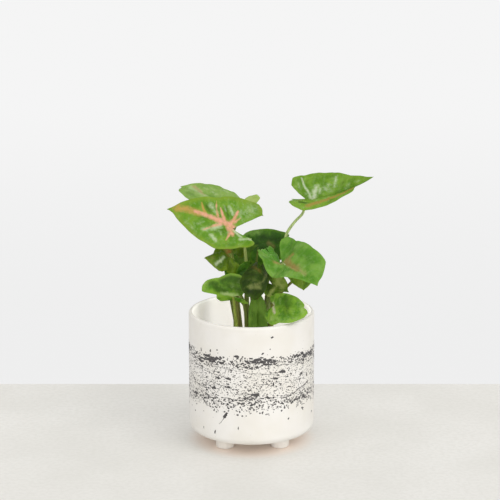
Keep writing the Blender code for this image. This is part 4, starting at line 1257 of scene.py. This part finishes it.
def splatter_material():
    """Charcoal underglaze."""
    nodes = Nodes("charcoal_splatter")
    tone = nodes.noise(500, 2)
    nodes.fill(nodes.shader, {"Specular IOR Level": 0.3})
    return nodes.finish(nodes.mix(tone, (0.055, 0.052, 0.052), (0.10, 0.095, 0.098)), 0.5)


def soil_material():
    """Dark, crumbly, damp potting soil."""
    nodes = Nodes("potting_soil")
    fine = nodes.noise(900, 4)
    colour = nodes.mix(nodes.range(fine, 0.35, 0.65), (0.018, 0.011, 0.006), (0.065, 0.042, 0.026))
    nodes.bump(fine, 0.6, 0.0005)
    return nodes.finish(colour, 0.95)


def soil_height(share):
    """The height of the soil at a share of its radius: a low mound with a sunk edge."""
    mound = SOIL_MOUND * (1 - min(1.0, share / SOIL_SHOULDER) ** 2)
    drop = SOIL_EDGE * max(0.0, share - SOIL_SHOULDER) / 0.2
    return SOIL_TOP + mound - drop


def make_soil(material):
    """A crumbly soil surface with lumps of bark and grit, on a plain lump in the pot."""
    rng = np.random.default_rng(11)
    gathered = new_mesh()
    radius = POT_RADIUS - POT_WALL - CLEARANCE
    bottom = FOOT_HEIGHT + POT_FLOOR + CLEARANCE
    corner = POT_INNER_CORNER
    profile = [(radius * i / SOIL_ROWS, soil_height(i / SOIL_ROWS)) for i in range(SOIL_ROWS + 1)]
    profile += arc(radius - corner, bottom + corner, corner, 0, -90, 5) + [(0.0, bottom)]
    places, faces = turned_body(profile, SOIL_STEPS)
    from_axis = np.hypot(places[:, 0], places[:, 1])
    surface = (places[:, 2] > SOIL_TOP - SOIL_EDGE * 0.9) & (from_axis < radius * 0.985)
    lumpy = (0.5 * np.sin(places[:, 0] * 900 + 3 * np.sin(places[:, 1] * 700))
             + 0.5 * np.sin(places[:, 1] * 1100 + 2 * np.sin(places[:, 0] * 800))
             + rng.standard_normal(len(places)) * 0.5)
    places[surface, 2] += lumpy[surface] * 0.00035 - 0.0004
    gathered.add(places + AXIS, faces, 0)
    shell = bmesh.new()
    bmesh.ops.create_icosphere(shell, subdivisions=1, radius=1.0)
    pebble = np.array([vert.co[:] for vert in shell.verts])
    pebble_faces = [tuple(vert.index for vert in face.verts) for face in shell.faces]
    shell.free()
    for _ in range(PEBBLES):
        away = radius * 0.95 * math.sqrt(rng.random())
        turn = rng.uniform(0, 2 * math.pi)
        x, y = away * math.cos(turn), away * math.sin(turn)
        if min(math.hypot(x - leaf.base[0] * MM, y - leaf.base[1] * MM) for leaf in LEAVES) < PEBBLE_FREE:
            continue
        z = soil_height(away / radius)
        size = rng.uniform(0.0005, 0.0017)
        body = pebble * (1 + 0.25 * rng.standard_normal(pebble.shape)) * size * rng.uniform(0.6, 1.2, 3)
        gathered.add(body + AXIS + np.array([x, y, z - size * 0.1]), pebble_faces, 0)
    soil = make_object("soil_surface", gathered, [material])
    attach(soil, "root")
    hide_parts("soil")


def make_camera():
    """The camera at the photograph's place."""
    data = bpy.data.cameras.new("camera")
    data.lens = CAMERA_LENS
    data.sensor_width = CAMERA_SENSOR
    data.clip_start = 0.05
    data.clip_end = 30.0
    camera = bpy.data.objects.new("camera", data)
    bpy.context.scene.collection.objects.link(camera)
    camera.location = CAMERA_PLACE
    camera.rotation_euler = (math.pi / 2 - CAMERA_PITCH, 0, 0)
    bpy.context.scene.camera = camera


# Stage
TABLE_BACK = 0.149
STAGE_REACH = 6.0
BACKDROP_DROP = 0.0005


def make_plane(name, near, far, height, material):
    """A flat piece of the stage."""
    mesh = bpy.data.meshes.new(name)
    corners = [(-STAGE_REACH, near, height), (STAGE_REACH, near, height), (STAGE_REACH, far, height),
               (-STAGE_REACH, far, height)]
    mesh.from_pydata(corners, [], [(0, 1, 2, 3)])
    mesh.materials.append(material)
    plane = bpy.data.objects.new(name, mesh)
    bpy.context.scene.collection.objects.link(plane)


# Light: an even room, a broad key from the upper right and a low broad fill from the front
WORLD_STRENGTH = 0.81
KEY_TOWARDS = (0.62, -0.50, 0.85)
KEY_ENERGY = 0.6
KEY_ANGLE = 35
FILL_TOWARDS = (0.10, -0.90, 0.42)
FILL_ENERGY = 0.9
FILL_ANGLE = 60


def add_light(name, towards, energy, angle, casts_shadow=True):
    """A broad light, far away in the given direction."""
    sun = bpy.data.lights.new(name, "SUN")
    sun.energy = energy
    sun.angle = math.radians(angle)
    sun.color = (1.0, 0.985, 0.96)
    sun.use_shadow = casts_shadow
    light = bpy.data.objects.new(name, sun)
    bpy.context.scene.collection.objects.link(light)
    light.rotation_euler = Vector(towards).to_track_quat("Z", "Y").to_euler()


def make_stage():
    """A pale speckled table, painted warmer and lighter where the pot's shadow falls, a plain bright
    backdrop beyond it, and soft light from the right.
    """
    nodes = Nodes("pale_table")
    broad = nodes.noise(9, 3)
    fine = nodes.noise(260, 4)
    colour = nodes.mix(nodes.range(broad, 0.3, 0.7), (0.74, 0.73, 0.695), (0.80, 0.79, 0.76))
    speckle = nodes.product(nodes.range(fine, 0.35, 0.7), 0.35)
    colour = nodes.mix(speckle, colour, (0.66, 0.65, 0.61))
    # Painted light: a warmer, lighter colour under the pot, where its shadow falls
    painted_warm_shadow = nodes.range(nodes.from_axis(), 0.038, 0.060, 1.0, 0.0)
    colour = nodes.mix(painted_warm_shadow, colour, (0.95, 0.83, 0.74))
    make_plane("table", -STAGE_REACH, TABLE_BACK, 0.0, nodes.finish(colour, 0.6))
    backdrop = Nodes("backdrop")
    depth = backdrop.add("ShaderNodeSeparateXYZ", {0: backdrop.place}).outputs[1]
    brightness = backdrop.range(depth, 0.2, 1.7, 0.858, 0.912)
    backdrop.fill(backdrop.shader, {"Emission Color": (1.0, 1.0, 1.0), "Emission Strength": brightness,
                                    "Specular IOR Level": 0.0})
    make_plane("backdrop", TABLE_BACK, STAGE_REACH, -BACKDROP_DROP, backdrop.finish((0.0, 0.0, 0.0), 1.0))

    world = bpy.data.worlds.new("studio")
    world.use_nodes = True
    background = world.node_tree.nodes["Background"]
    background.inputs["Color"].default_value = (1.0, 0.995, 0.985, 1.0)
    background.inputs["Strength"].default_value = WORLD_STRENGTH
    bpy.context.scene.world = world
    add_light("key", KEY_TOWARDS, KEY_ENERGY, KEY_ANGLE)
    add_light("fill", FILL_TOWARDS, FILL_ENERGY, FILL_ANGLE, casts_shadow=False)
    scene = bpy.context.scene
    scene.view_settings.view_transform = "Standard"
    scene.view_settings.look = "None"


made_looks = {}
make_camera()
make_stage()
make_pot(pot_material())
make_splatter(splatter_material())
make_soil(soil_material())
for one_leaf in LEAVES:
    make_leaf(one_leaf)
